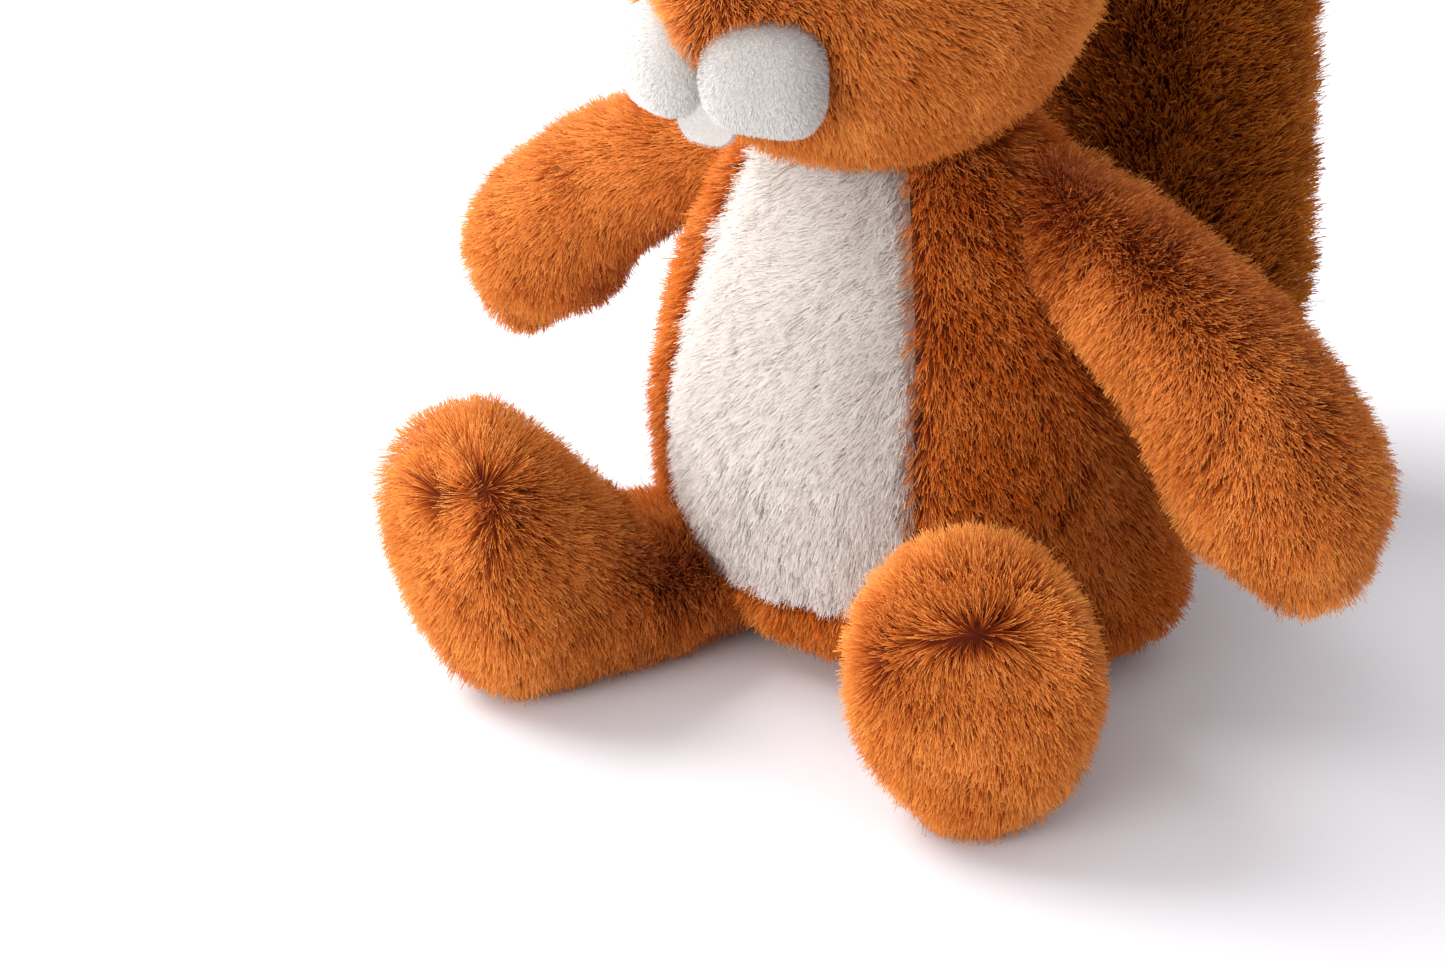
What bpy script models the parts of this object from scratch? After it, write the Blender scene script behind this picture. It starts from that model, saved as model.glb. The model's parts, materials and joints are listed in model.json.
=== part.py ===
"""Seated plush squirrel: pile covers sewn over stuffing, with plush, felt and plastic trim.

The toy sits on its flat seat at z = 0 and faces -Y. Left and right are the toy's own.
"""

import math

import bmesh
import bpy
import numpy as np

# Fabric and fit, in metres
PILE = 0.008
GAP = 0.0003

# Body
BODY_HEIGHT = 0.153
BODY_HALF_WIDTH = 0.071
BODY_FRONT = 0.0725
BODY_BACK = 0.064
SEAT_HALF_WIDTH = 0.044
SEAT_FRONT = 0.042
SEAT_BACK = 0.040
HAUNCH_RISE = 0.011
HAUNCH_HEIGHT = 0.009
HAUNCH_RADIUS = 0.027
PANEL_BOTTOM = 0.026
PANEL_CORNER = 0.030
PANEL_ANGLE = 33.0

# Head, measured from the neck seam upwards
HEAD_SINK = 0.019
HEAD_HEIGHT = 0.1005
HEAD_HALF_WIDTH = 0.0555
HEAD_FRONT = 0.084
HEAD_BACK = 0.024
NECK_HALF_WIDTH = 0.020
SNOUT_RISE = 0.021
SNOUT_RADIUS = 0.031
SNOUT_HEIGHT_ON_HEAD = 0.039

# Face trim
PUFF_SIDE = 0.0130
PUFF_RADIUS = 0.0145
PUFF_DEPTH = 0.0115
PUFF_BACK = 0.0060
PUFF_TURN = 33.0
PUFF_HEIGHT_ON_HEAD = 0.0328
TOOTH_WIDTH = 0.017
TOOTH_LENGTH = 0.016
TOOTH_THICKNESS = 0.0018
TOOTH_CORNER = 0.006
TOOTH_BACK = 0.0069
EYE_RADIUS = 0.0070
EYE_RISE = 0.0045
EYE_SIDE = 0.025
EYE_HEIGHT_ON_HEAD = 0.073
NOSE_RADIUS = 0.0085
NOSE_RISE = 0.0055
NOSE_HEIGHT_ON_HEAD = 0.0615
STEM_RADIUS = 0.0018
WASHER_RADIUS = 0.0075
WASHER_THICKNESS = 0.0016

# Ears
EAR_SIDE = 0.034
EAR_BACK = 0.024
EAR_LIFT = 0.004
EAR_HALF_WIDTH = 0.018
EAR_HALF_DEPTH = 0.0075
EAR_HALF_HEIGHT = 0.023
EAR_LEAN = 16.0
LINING_MARGIN = 0.0055

# Arms
SHOULDER_HEIGHT = 0.1215
SHOULDER_SIDE = 0.038
SHOULDER_FRONT = 0.010
ARM_LEFT_RADIUS = 0.0235
ARM_RIGHT_RADIUS = 0.0215
ARM_REACH = 0.086
ARM_DROP = 0.070
ARM_LEFT_SWING = 0.016
ARM_RIGHT_SWING = 0.004
ARM_RIGHT_LIFT = 4.0

# Legs
HIP_SIDE = 0.036
HIP_FRONT = 0.030
LEG_LEFT_LENGTH = 0.0955
LEG_RIGHT_LENGTH = 0.101
LEG_HEIGHT = 0.041
LEG_HALF_WIDTH = 0.025
FOOT_HEIGHT = 0.072
FOOT_HALF_WIDTH = 0.028
LEG_LEFT_TURN = 32.5
LEG_RIGHT_TURN = 15.0
FOOT_LEFT_LEAN = -3.0
FOOT_RIGHT_LEAN = 9.0

# Tail
TAIL_HEIGHT = 0.230
TAIL_BACK = 0.104
TAIL_HALF_WIDTH = 0.041
TAIL_HALF_DEPTH = 0.033
TAIL_CURL = 0.052

# Facets round each kind of piece, and rings along it
BODY_SIDES = 24
LIMB_SIDES = 16
TRIM_SIDES = 14
PUFF_SIDES = 18
BODY_RINGS = 14
HEAD_RINGS = 13
ARM_RINGS = 11
LEG_RINGS = 13
TAIL_RINGS = 14
TRIM_RINGS = 9

# Shares of a limb end's and the crown's radius, of a button's rise and of the panel's width
LIMB_ROUNDNESS = 0.35
HEAD_ROUNDNESS = 0.2
BUTTON_SINK = 0.4
PANEL_FOOT = 0.4

# Body and head, from the bottom up: shares of the height, half width, front and back
BODY_SHAPE = [
    (0.065, 0.86, 0.83, 0.875),
    (0.21, 0.99, 0.965, 0.99),
    (0.39, 1.00, 1.00, 0.96),
    (0.59, 0.92, 0.925, 0.80),
    (0.77, 0.735, 0.79, 0.52),
    (0.89, 0.55, 0.66, 0.25),
    (0.96, 0.42, 0.58, 0.10),
    (1.00, 0.28, 0.53, -0.02),
]
HEAD_SHAPE = [
    (0.00, 0.35, 0.55, -0.17),
    (0.08, 0.59, 0.73, 0.06),
    (0.20, 0.81, 0.877, 0.57),
    (0.34, 0.955, 0.970, 0.90),
    (0.49, 1.00, 1.00, 1.00),
    (0.66, 0.942, 0.962, 0.867),
    (0.81, 0.78, 0.857, 0.50),
    (0.92, 0.54, 0.702, 0.00),
    (0.98, 0.25, 0.51, -0.60),
]
# Arm: reach, drop and how far forward it swings, then its two radii
ARM_SHAPE = [
    (0.00, 0.00, 0.00, 0.64, 0.66),
    (0.33, 0.13, 0.62, 0.82, 0.82),
    (0.67, 0.36, 1.00, 0.95, 0.95),
    (0.93, 0.72, 1.12, 1.03, 1.06),
    (1.02, 0.97, 1.00, 0.58, 0.58),
]
# Leg: lower point, then upper point, along the leg and up, then half width
LEG_SHAPE = [
    (0.00, 0.05, 0.04, 0.84, 0.96),
    (0.25, 0.02, 0.28, 0.88, 1.00),
    (0.47, 0.00, 0.42, 1.00, 1.06),
]
FOOT_SHAPE = [
    (0.67, 0.00, 0.56, 0.78, 0.97),
    (0.84, 0.00, 0.68, 0.96, 1.00),
    (0.98, 0.18, 0.79, 1.01, 1.02),
    (1.02, 0.48, 0.90, 0.95, 0.86),
    (1.00, 0.68, 0.95, 0.83, 0.41),
]
# Tail: back from the body and height of its middle line, then half width and half depth
TAIL_SHAPE = [
    (0.46, 0.100, 0.44, 0.48),
    (0.80, 0.120, 0.80, 0.80),
    (1.00, 0.250, 1.12, 0.97),
    (1.02, 0.485, 1.06, 1.00),
    (1.00, 0.690, 1.04, 1.00),
]
TAIL_TIP_SHAPE = [
    (0.20, 0.855, 0.97, 0.97),
    (0.62, 0.965, 0.82, 0.84),
    (1.00, 0.985, 0.50, 0.50),
]


def clear_scene():
    """Remove every object that the file starts with."""
    for item in list(bpy.data.objects):
        bpy.data.objects.remove(item, do_unlink=True)


def linear(hex_colour):
    """Linear colour with alpha from a hex sRGB string."""
    channels = [int(hex_colour[i:i + 2], 16) / 255 for i in (0, 2, 4)]
    return [c / 12.92 if c <= 0.04045 else ((c + 0.055) / 1.055) ** 2.4 for c in channels] + [1.0]


def make_material(name, hex_colour, roughness):
    """Principled material with one colour and roughness."""
    material = bpy.data.materials.new(name)
    material.use_nodes = True
    shader = material.node_tree.nodes["Principled BSDF"]
    shader.inputs["Base Color"].default_value = linear(hex_colour)
    shader.inputs["Roughness"].default_value = roughness
    shader.inputs["Metallic"].default_value = 0.0
    return material


def unit(vector):
    """The vector at length one."""
    return vector / np.linalg.norm(vector)


def smooth_rows(rows, count):
    """Rows at even steps on a Catmull-Rom curve through the given rows."""
    rows = np.array(rows, dtype=float)
    padded = np.vstack([2 * rows[0] - rows[1], rows, 2 * rows[-1] - rows[-2]])
    read = []
    for step in np.linspace(0, len(rows) - 1, count):
        index = min(int(step), len(rows) - 2)
        t = step - index
        a, b, c, d = padded[index:index + 4]
        read.append(0.5 * (2 * b + (c - a) * t + (2 * a - 5 * b + 4 * c - d) * t ** 2
                           + (3 * b - a - 3 * c + d) * t ** 3))
    return np.array(read)


def ellipse(center, first, second, sides):
    """Points round an ellipse with the two given half axes."""
    turns = 2 * np.pi * np.arange(sides) / sides
    return center + np.outer(np.cos(turns), first) + np.outer(np.sin(turns), second)


def upright_rings(rows, count, sides):
    """Level rings from rows of height, half width, front y and back y."""
    rings = []
    for height, half_width, front, back in smooth_rows(rows, count):
        center = np.array([0.0, (front + back) / 2, height])
        rings.append(ellipse(center, np.array([half_width, 0, 0]), np.array([0, (back - front) / 2, 0]), sides))
    return np.array(rings)


def grown(rings, distance, flat_start=False):
    """Rings moved along the surface normals: outwards for a positive distance."""
    around = np.roll(rings, -1, axis=1) - np.roll(rings, 1, axis=1)
    along = np.gradient(rings, axis=0)
    normals = np.cross(around, along)
    normals /= np.linalg.norm(normals, axis=2)[:, :, None]
    centers = rings.mean(axis=1)[:, None, :]
    if ((rings - centers) * normals).sum() < 0:
        normals = -normals
    if flat_start:
        normals[0, :, 2] = -1.0
    return rings + normals * distance


def tip_of(rings, roundness=LIMB_ROUNDNESS):
    """The point that closes the far end of a set of rings."""
    center = rings[-1].mean(axis=0)
    reach = np.linalg.norm(rings[-1] - center, axis=1).mean()
    return center + unit(center - rings[-2].mean(axis=0)) * reach * roundness


def finish_mesh(name, points, faces, material):
    """Linked object from points and faces, triangulated with its faces pointing out."""
    mesh = bpy.data.meshes.new(name)
    mesh.from_pydata([tuple(map(float, p)) for p in points], [], faces)
    shape = bmesh.new()
    shape.from_mesh(mesh)
    bmesh.ops.triangulate(shape, faces=shape.faces)
    bmesh.ops.recalc_face_normals(shape, faces=shape.faces)
    shape.to_mesh(mesh)
    shape.free()
    mesh.shade_smooth()
    mesh.set_sharp_from_angle(angle=math.radians(40))
    mesh.materials.append(material)
    item = bpy.data.objects.new(name, mesh)
    bpy.context.scene.collection.objects.link(item)
    return item


def ring_faces(first, second, sides):
    """Quads between two rings that start at the given point indices."""
    return [(first + i, first + (i + 1) % sides, second + (i + 1) % sides, second + i) for i in range(sides)]


def surface_faces(count, sides, start, tip):
    """Faces of a stack of rings closed at its far end by the point numbered tip."""
    faces = []
    for row in range(count - 1):
        faces += ring_faces(start + row * sides, start + (row + 1) * sides, sides)
    last = start + (count - 1) * sides
    return faces + [(last + i, last + (i + 1) % sides, tip) for i in range(sides)]


def solid(name, rings, tip, material):
    """Filled piece: rings closed by a flat face at the start and a point at the end."""
    count, sides, _ = rings.shape
    points = np.vstack([rings.reshape(-1, 3), [tip]])
    faces = surface_faces(count, sides, 0, count * sides)
    faces.append(tuple(range(sides)))
    return finish_mesh(name, points, faces, material)


def shell(name, outer, outer_tip, inner, inner_tip, material):
    """Cover of even wall: outer and inner rings closed at the end and open at the start."""
    count, sides, _ = outer.shape
    total = count * sides
    points = np.vstack([outer.reshape(-1, 3), [outer_tip], inner.reshape(-1, 3), [inner_tip]])
    faces = surface_faces(count, sides, 0, total)
    faces += surface_faces(count, sides, total + 1, 2 * total + 1)
    faces += ring_faces(0, total + 1, sides)
    return finish_mesh(name, points, faces, material)


def guide(item):
    """Mark an object as a cutter that is no piece of the toy."""
    item.hide_render = True
    item.display_type = "WIRE"
    return item


def cut(item, cutter, operation="DIFFERENCE"):
    """Boolean of a piece with a cutter."""
    modifier = item.modifiers.new(cutter.name, "BOOLEAN")
    modifier.operation = operation
    modifier.solver = "EXACT"
    modifier.object = cutter


def body_rows():
    """Height, half width, front y and back y of the body from the seat up."""
    rows = [(0.0, SEAT_HALF_WIDTH, -SEAT_FRONT, SEAT_BACK)]
    for high, wide, front, back in BODY_SHAPE:
        rows.append((high * BODY_HEIGHT, wide * BODY_HALF_WIDTH, -front * BODY_FRONT, back * BODY_BACK))
    return rows


def body_rings():
    """Rings of the body from the neck down, with its haunches swelling out at the sides."""
    rings = upright_rings(body_rows(), BODY_RINGS, BODY_SIDES)[::-1]
    spread = (rings[:, :, 1] / HAUNCH_RADIUS) ** 2 + ((rings[:, :, 2] - HAUNCH_HEIGHT) / HAUNCH_RADIUS) ** 2
    rings[:, :, 0] += np.sign(rings[:, :, 0]) * HAUNCH_RISE * np.exp(-spread)
    return rings


def head_base():
    """Height of the lowest ring of the head."""
    return BODY_HEIGHT - HEAD_SINK


def head_rows():
    """Height, half width, front y and back y of the head from the neck up."""
    rows = []
    for high, wide, front, back in HEAD_SHAPE:
        half_width = NECK_HALF_WIDTH if high == 0 else wide * HEAD_HALF_WIDTH
        rows.append((head_base() + high * HEAD_HEIGHT, half_width, -front * HEAD_FRONT, back * HEAD_BACK))
    return rows


def head_rings(sides):
    """Rings of the head with the snout swelling forward between the muzzle puffs."""
    rings = upright_rings(head_rows(), HEAD_RINGS, sides)
    middle = head_base() + SNOUT_HEIGHT_ON_HEAD
    spread = (rings[:, :, 0] / SNOUT_RADIUS) ** 2 + ((rings[:, :, 2] - middle) / SNOUT_RADIUS) ** 2
    front = rings[:, :, 1] < rings[:, :, 1].mean(axis=1)[:, None]
    rings[:, :, 1] -= np.where(front, SNOUT_RISE * np.exp(-spread), 0)
    return rings


def face_point(side, height):
    """Point and outward normal of the head's front at a sideways place and a height."""
    rows = smooth_rows(head_rows(), 200)

    def point(x, z):
        half_width, front, back = (np.interp(z, rows[:, 0], rows[:, k]) for k in (1, 2, 3))
        depth = (back - front) / 2 * math.sqrt(max(0.0, 1 - (x / half_width) ** 2))
        middle = head_base() + SNOUT_HEIGHT_ON_HEAD
        spread = (x / SNOUT_RADIUS) ** 2 + ((z - middle) / SNOUT_RADIUS) ** 2
        return np.array([x, (back + front) / 2 - depth - SNOUT_RISE * math.exp(-spread), z])

    step = 0.002
    across = point(side + step, height) - point(side - step, height)
    upward = point(side, height + step) - point(side, height - step)
    return point(side, height), unit(np.cross(across, upward))


def limb_rings(rows, reference, sides):
    """Rings round a middle line: rows of x, y, z, half size along and across the reference."""
    rings = []
    directions = np.gradient(rows[:, :3], axis=0)
    for row, direction in zip(rows, directions):
        across = unit(np.cross(direction, reference))
        along = unit(np.cross(across, direction))
        rings.append(ellipse(row[:3], along * row[3], across * row[4], sides))
    return np.array(rings)


def arm_rings(side, swing, lift, radius, sides):
    """Rings of one arm from inside the shoulder to the paw; side is 1 for left, -1 for right."""
    turn = math.radians(lift)
    rows = []
    for reach, drop, forward, first, second in ARM_SHAPE:
        out = reach * ARM_REACH * math.cos(turn) + drop * ARM_DROP * math.sin(turn)
        down = drop * ARM_DROP * math.cos(turn) - reach * ARM_REACH * math.sin(turn)
        place = (side * (SHOULDER_SIDE + out), -SHOULDER_FRONT - forward * swing, SHOULDER_HEIGHT - down)
        rows.append((*place, first * radius, second * radius))
    return limb_rings(smooth_rows(rows, ARM_RINGS), np.array([0.0, -1.0, 0.0]), sides)


def leg_rings(side, turn, lean, length, sides):
    """Rings of one leg from inside the hip to the upright foot, which leans outwards."""
    hip = np.array([side * HIP_SIDE, -HIP_FRONT, 0.0])
    angle = math.radians(turn)
    ahead = np.array([side * math.sin(angle), -math.cos(angle), 0.0])
    across = np.array([math.cos(angle), side * math.sin(angle), 0.0])
    up = np.array([0.0, 0.0, 1.0])
    rows = [(a * length, b * LEG_HEIGHT, c * length, d * LEG_HEIGHT, e * LEG_HALF_WIDTH)
            for a, b, c, d, e in LEG_SHAPE]
    rows += [(a * length, b * FOOT_HEIGHT, c * length, d * FOOT_HEIGHT, e * FOOT_HALF_WIDTH)
             for a, b, c, d, e in FOOT_SHAPE]
    rings = []
    for low_out, low_up, high_out, high_up, half_width in smooth_rows(rows, LEG_RINGS):
        low = hip + ahead * low_out + up * max(low_up, 0.0)
        high = hip + ahead * high_out + up * high_up
        rings.append(ellipse((low + high) / 2, across * half_width, (high - low) / 2, sides))
    rings = np.array(rings)
    rings[:, :, 0] += side * math.tan(math.radians(lean)) * (rings[:, :, 2] - FOOT_HEIGHT / 2)
    return rings


def tail_rings(sides):
    """Rings of the tail from its root on the body, up behind the back and over at the tip."""
    rows = [(0.0, back * TAIL_BACK, up * TAIL_HEIGHT, wide * TAIL_HALF_WIDTH, deep * TAIL_HALF_DEPTH)
            for back, up, wide, deep in TAIL_SHAPE]
    rows += [(0.0, TAIL_BACK + curl * TAIL_CURL, up * TAIL_HEIGHT, wide * TAIL_HALF_WIDTH, deep * TAIL_HALF_DEPTH)
             for curl, up, wide, deep in TAIL_TIP_SHAPE]
    return limb_rings(smooth_rows(rows, TAIL_RINGS), np.array([1.0, 0.0, 0.0]), sides)


def stuffing_rings(outer, flat_start=False):
    """Rings of the stuffing inside a cover, with half as many facets round it."""
    return grown(outer, -PILE - GAP, flat_start)[:, ::2]


def cover_and_fill(name, outer, cover, stuffing, cutters):
    """Limb cover with its stuffing, both cut back to what they are sewn to."""
    inner = grown(outer, -PILE)
    pieces = [shell(f"{name}_cover", outer, tip_of(outer), inner, tip_of(inner), cover)]
    fill = stuffing_rings(outer)
    pieces.append(solid(f"{name}_stuffing", fill, tip_of(fill), stuffing))
    for piece in pieces:
        for cutter in cutters:
            cut(piece, cutter)


def ellipsoid(name, center, half, material, tilt=0.0, swing=0.0, sides=TRIM_SIDES):
    """Closed ellipsoid tilted about the Y axis, then swung about the Z axis, in degrees."""
    half = np.array(half)
    rings = []
    for polar in np.linspace(-math.pi / 2, math.pi / 2, TRIM_RINGS)[1:-1]:
        ring = ellipse(np.array([0, 0, math.sin(polar)]), np.array([math.cos(polar), 0, 0]),
                       np.array([0, math.cos(polar), 0]), sides)
        rings.append(ring)
    angle = math.radians(tilt)
    turn = np.array([[math.cos(angle), 0, math.sin(angle)], [0, 1, 0], [-math.sin(angle), 0, math.cos(angle)]])
    angle = math.radians(swing)
    turn = np.array([[math.cos(angle), -math.sin(angle), 0], [math.sin(angle), math.cos(angle), 0], [0, 0, 1]]) @ turn
    points = np.vstack([np.array(rings).reshape(-1, 3), [[0, 0, 1]], [[0, 0, -1]]]) * half @ turn.T
    faces = surface_faces(len(rings), sides, 0, len(rings) * sides)
    faces += [((i + 1) % sides, i, len(rings) * sides + 1) for i in range(sides)]
    return finish_mesh(name, points + np.array(center), faces, material)


def turned(name, profile, place, normal, material, sides=TRIM_SIDES):
    """Piece turned about a normal: profile of radius and height, closed at both ends."""
    first = unit(np.cross(normal, np.array([0.0, 0.0, 1.0])))
    second = np.cross(normal, first)
    rings = np.array([ellipse(place + normal * high, first * radius, second * radius, sides)
                      for radius, high in profile])
    return solid(name, rings, rings[-1].mean(axis=0), material)


def washer(name, place, normal, low, material):
    """Flat ring round a stem, its lower face at the given height on the normal."""
    first = unit(np.cross(normal, np.array([0.0, 0.0, 1.0])))
    second = np.cross(normal, first)
    corners = [(STEM_RADIUS + GAP, low), (WASHER_RADIUS, low),
               (WASHER_RADIUS, low + WASHER_THICKNESS), (STEM_RADIUS + GAP, low + WASHER_THICKNESS)]
    rings = np.array([ellipse(place + normal * high, first * radius, second * radius, TRIM_SIDES)
                      for radius, high in corners])
    faces = []
    for row in range(4):
        faces += ring_faces(row * TRIM_SIDES, (row + 1) % 4 * TRIM_SIDES, TRIM_SIDES)
    return finish_mesh(name, rings.reshape(-1, 3), faces, material)


def button(name, side, height, radius, rise, plastic, clip, head_cover, head_stuffing):
    """Plastic eye or nose on a stem, its washer inside the cover, and the room for both."""
    place, normal = face_point(side, height)
    sag = WASHER_RADIUS ** 2 / HEAD_HALF_WIDTH
    seat = -BUTTON_SINK * rise
    washer_top = -PILE - sag - GAP
    stem_end = washer_top - WASHER_THICKNESS - STEM_RADIUS
    profile = [(STEM_RADIUS, stem_end), (STEM_RADIUS, seat), (radius, seat)]
    turns = [math.radians(a) for a in (30, 60, 80)]
    profile += [(radius * math.cos(a), seat + (rise - seat) * math.sin(a)) for a in turns]
    turned(name, profile, place, normal, plastic)
    washer(f"{name}_washer", place, normal, washer_top - WASHER_THICKNESS, clip)
    hole = STEM_RADIUS + GAP
    room = [(hole, stem_end - GAP), (hole, seat - GAP), (radius + GAP, seat - GAP), (radius + GAP, rise + PILE)]
    cut(head_cover, guide(turned(f"{name}_room", room, place, normal, clip)))
    wide = WASHER_RADIUS + GAP
    bearing = [(wide, stem_end - GAP), (wide, washer_top + GAP)]
    cut(head_cover, guide(turned(f"{name}_bearing", bearing, place, normal, clip)))
    pocket = [(wide, stem_end - GAP), (wide, 0.0)]
    cut(head_stuffing, guide(turned(f"{name}_pocket", pocket, place, normal, clip)))


def panel_prism(name, margin, material):
    """Upright prism that marks the belly panel out of the front of the body."""
    rows = smooth_rows(body_rows(), 60)
    share = math.sin(math.radians(PANEL_ANGLE))
    bottom = PANEL_BOTTOM - margin
    top = BODY_HEIGHT + margin
    heights = bottom + (top - bottom) * np.linspace(0, 1, 15) ** 1.3
    outline = []
    for height in heights:
        wide = np.interp(height, rows[:, 0], rows[:, 1]) * share + margin
        rounding = math.sqrt(max(0.0, 1 - max(0.0, 1 - (height - bottom) / PANEL_CORNER) ** 2))
        outline.append((wide * (PANEL_FOOT + (1 - PANEL_FOOT) * rounding), height))
    loop = outline + [(-x, z) for x, z in reversed(outline)]
    front = -BODY_FRONT * 2
    back = -BODY_FRONT / 4
    points = [(x, front, z) for x, z in loop] + [(x, back, z) for x, z in loop]
    count = len(loop)
    faces = ring_faces(0, count, count) + [tuple(range(count)), tuple(range(count, 2 * count))]
    return guide(finish_mesh(name, points, faces, material))


def build_body(pile, cream, stuffing, head_room):
    """Body cover with its flat seat, the cream belly panel and the stuffing."""
    outer = body_rings()
    inner = grown(outer[::-1], -PILE, flat_start=True)[::-1]
    seat = np.array([0.0, outer[-1][:, 1].mean(), 0.0])
    floor = seat + np.array([0.0, 0.0, PILE])
    body = shell("body_cover", outer, seat, inner, floor, pile)
    belly = shell("belly_panel", outer, seat, inner, floor, cream)
    cut(body, panel_prism("panel_opening", GAP / 2, cream))
    cut(belly, panel_prism("panel_outline", -GAP / 2, cream), "INTERSECT")
    fill = stuffing_rings(outer[::-1], flat_start=True)[::-1]
    body_fill = solid("body_stuffing", fill, fill[-1].mean(axis=0), stuffing)
    for piece in (body, belly, body_fill):
        cut(piece, head_room)


def build_head(pile, stuffing):
    """Head cover, open at the neck, and the stuffing in it."""
    outer = head_rings(BODY_SIDES)
    inner = grown(outer, -PILE)
    inner[0] = inner[0].mean(axis=0) + (outer[0] - outer[0].mean(axis=0)) * (1 - GAP / NECK_HALF_WIDTH)
    inner[0, :, 2] = outer[0, :, 2]
    cover = shell("head_cover", outer, tip_of(outer, HEAD_ROUNDNESS), inner, tip_of(inner, HEAD_ROUNDNESS), pile)
    fill = stuffing_rings(outer)
    filling = solid("head_stuffing", fill, tip_of(fill, HEAD_ROUNDNESS), stuffing)
    return cover, filling


def build_muzzle(plush, felt, head_room):
    """Two muzzle puffs side by side on the snout, and the tooth that hangs between them."""
    height = head_base() + PUFF_HEIGHT_ON_HEAD
    front = face_point(PUFF_SIDE, height)[0][1] + PUFF_BACK
    drop = height - PUFF_RADIUS / 2
    place = front - PUFF_DEPTH + TOOTH_BACK

    def tooth(name, margin):
        wide = TOOTH_WIDTH / 2 + margin
        long = TOOTH_LENGTH + 2 * margin
        corner = TOOTH_CORNER + margin
        turns = np.radians(np.linspace(0, 90, 5))
        side = [(wide - corner + corner * math.cos(t), corner - long - corner * math.sin(t)) for t in turns]
        outline = [(wide, 0.0)] + side + [(-x, z) for x, z in reversed(side)] + [(-wide, 0.0)]
        top = drop + TOOTH_CORNER + margin
        depth = TOOTH_THICKNESS / 2 + margin
        points = [(x, place - depth, top + z) for x, z in outline] + [(x, place + depth, top + z) for x, z in outline]
        count = len(outline)
        faces = ring_faces(0, count, count) + [tuple(range(count)), tuple(range(count, 2 * count))]
        return finish_mesh(name, points, faces, felt)

    cut(tooth("front_tooth", 0.0), head_room)
    tooth_room = guide(tooth("tooth_room", GAP))
    half = (PUFF_RADIUS, PUFF_DEPTH, PUFF_RADIUS)
    reach = 4 * PUFF_RADIUS
    for name, side in (("left", 1), ("right", -1)):
        center = (side * PUFF_SIDE, front, height)
        puff = ellipsoid(f"muzzle_{name}", center, half, plush, swing=side * PUFF_TURN, sides=PUFF_SIDES)
        inner = side * GAP / 2
        points = [(x, y, z) for x in (inner - side * reach, inner) for y in (front - reach, front + reach)
                  for z in (height - reach, height + reach)]
        faces = [(0, 1, 3, 2), (4, 5, 7, 6), (0, 1, 5, 4), (2, 3, 7, 6), (0, 2, 6, 4), (1, 3, 7, 5)]
        other_side = guide(finish_mesh(f"muzzle_{name}_middle", points, faces, plush))
        for cutter in (head_room, other_side, tooth_room):
            cut(puff, cutter)


def build_ears(pile, lining, head_room):
    """Upright ears, each with a lining let into its front."""
    height = head_base() + HEAD_HEIGHT + EAR_LIFT
    for name, side in (("left", 1), ("right", -1)):
        center = np.array([side * EAR_SIDE, -EAR_BACK, height])
        half = np.array([EAR_HALF_WIDTH, EAR_HALF_DEPTH, EAR_HALF_HEIGHT])
        inside = half - np.array([LINING_MARGIN, 0.0, LINING_MARGIN])
        front = center - np.array([0.0, EAR_HALF_DEPTH, 0.0])
        tilt = side * EAR_LEAN
        ear = ellipsoid(f"ear_{name}", center, half, pile, tilt)
        fill = ellipsoid(f"ear_{name}_lining", center, half, lining, tilt)
        cut(fill, guide(ellipsoid(f"ear_{name}_lining_shape", front, inside, lining, tilt)), "INTERSECT")
        cut(ear, guide(ellipsoid(f"ear_{name}_lining_room", front, inside + GAP, lining, tilt)))
        cut(ear, head_room)
        cut(fill, head_room)


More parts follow.
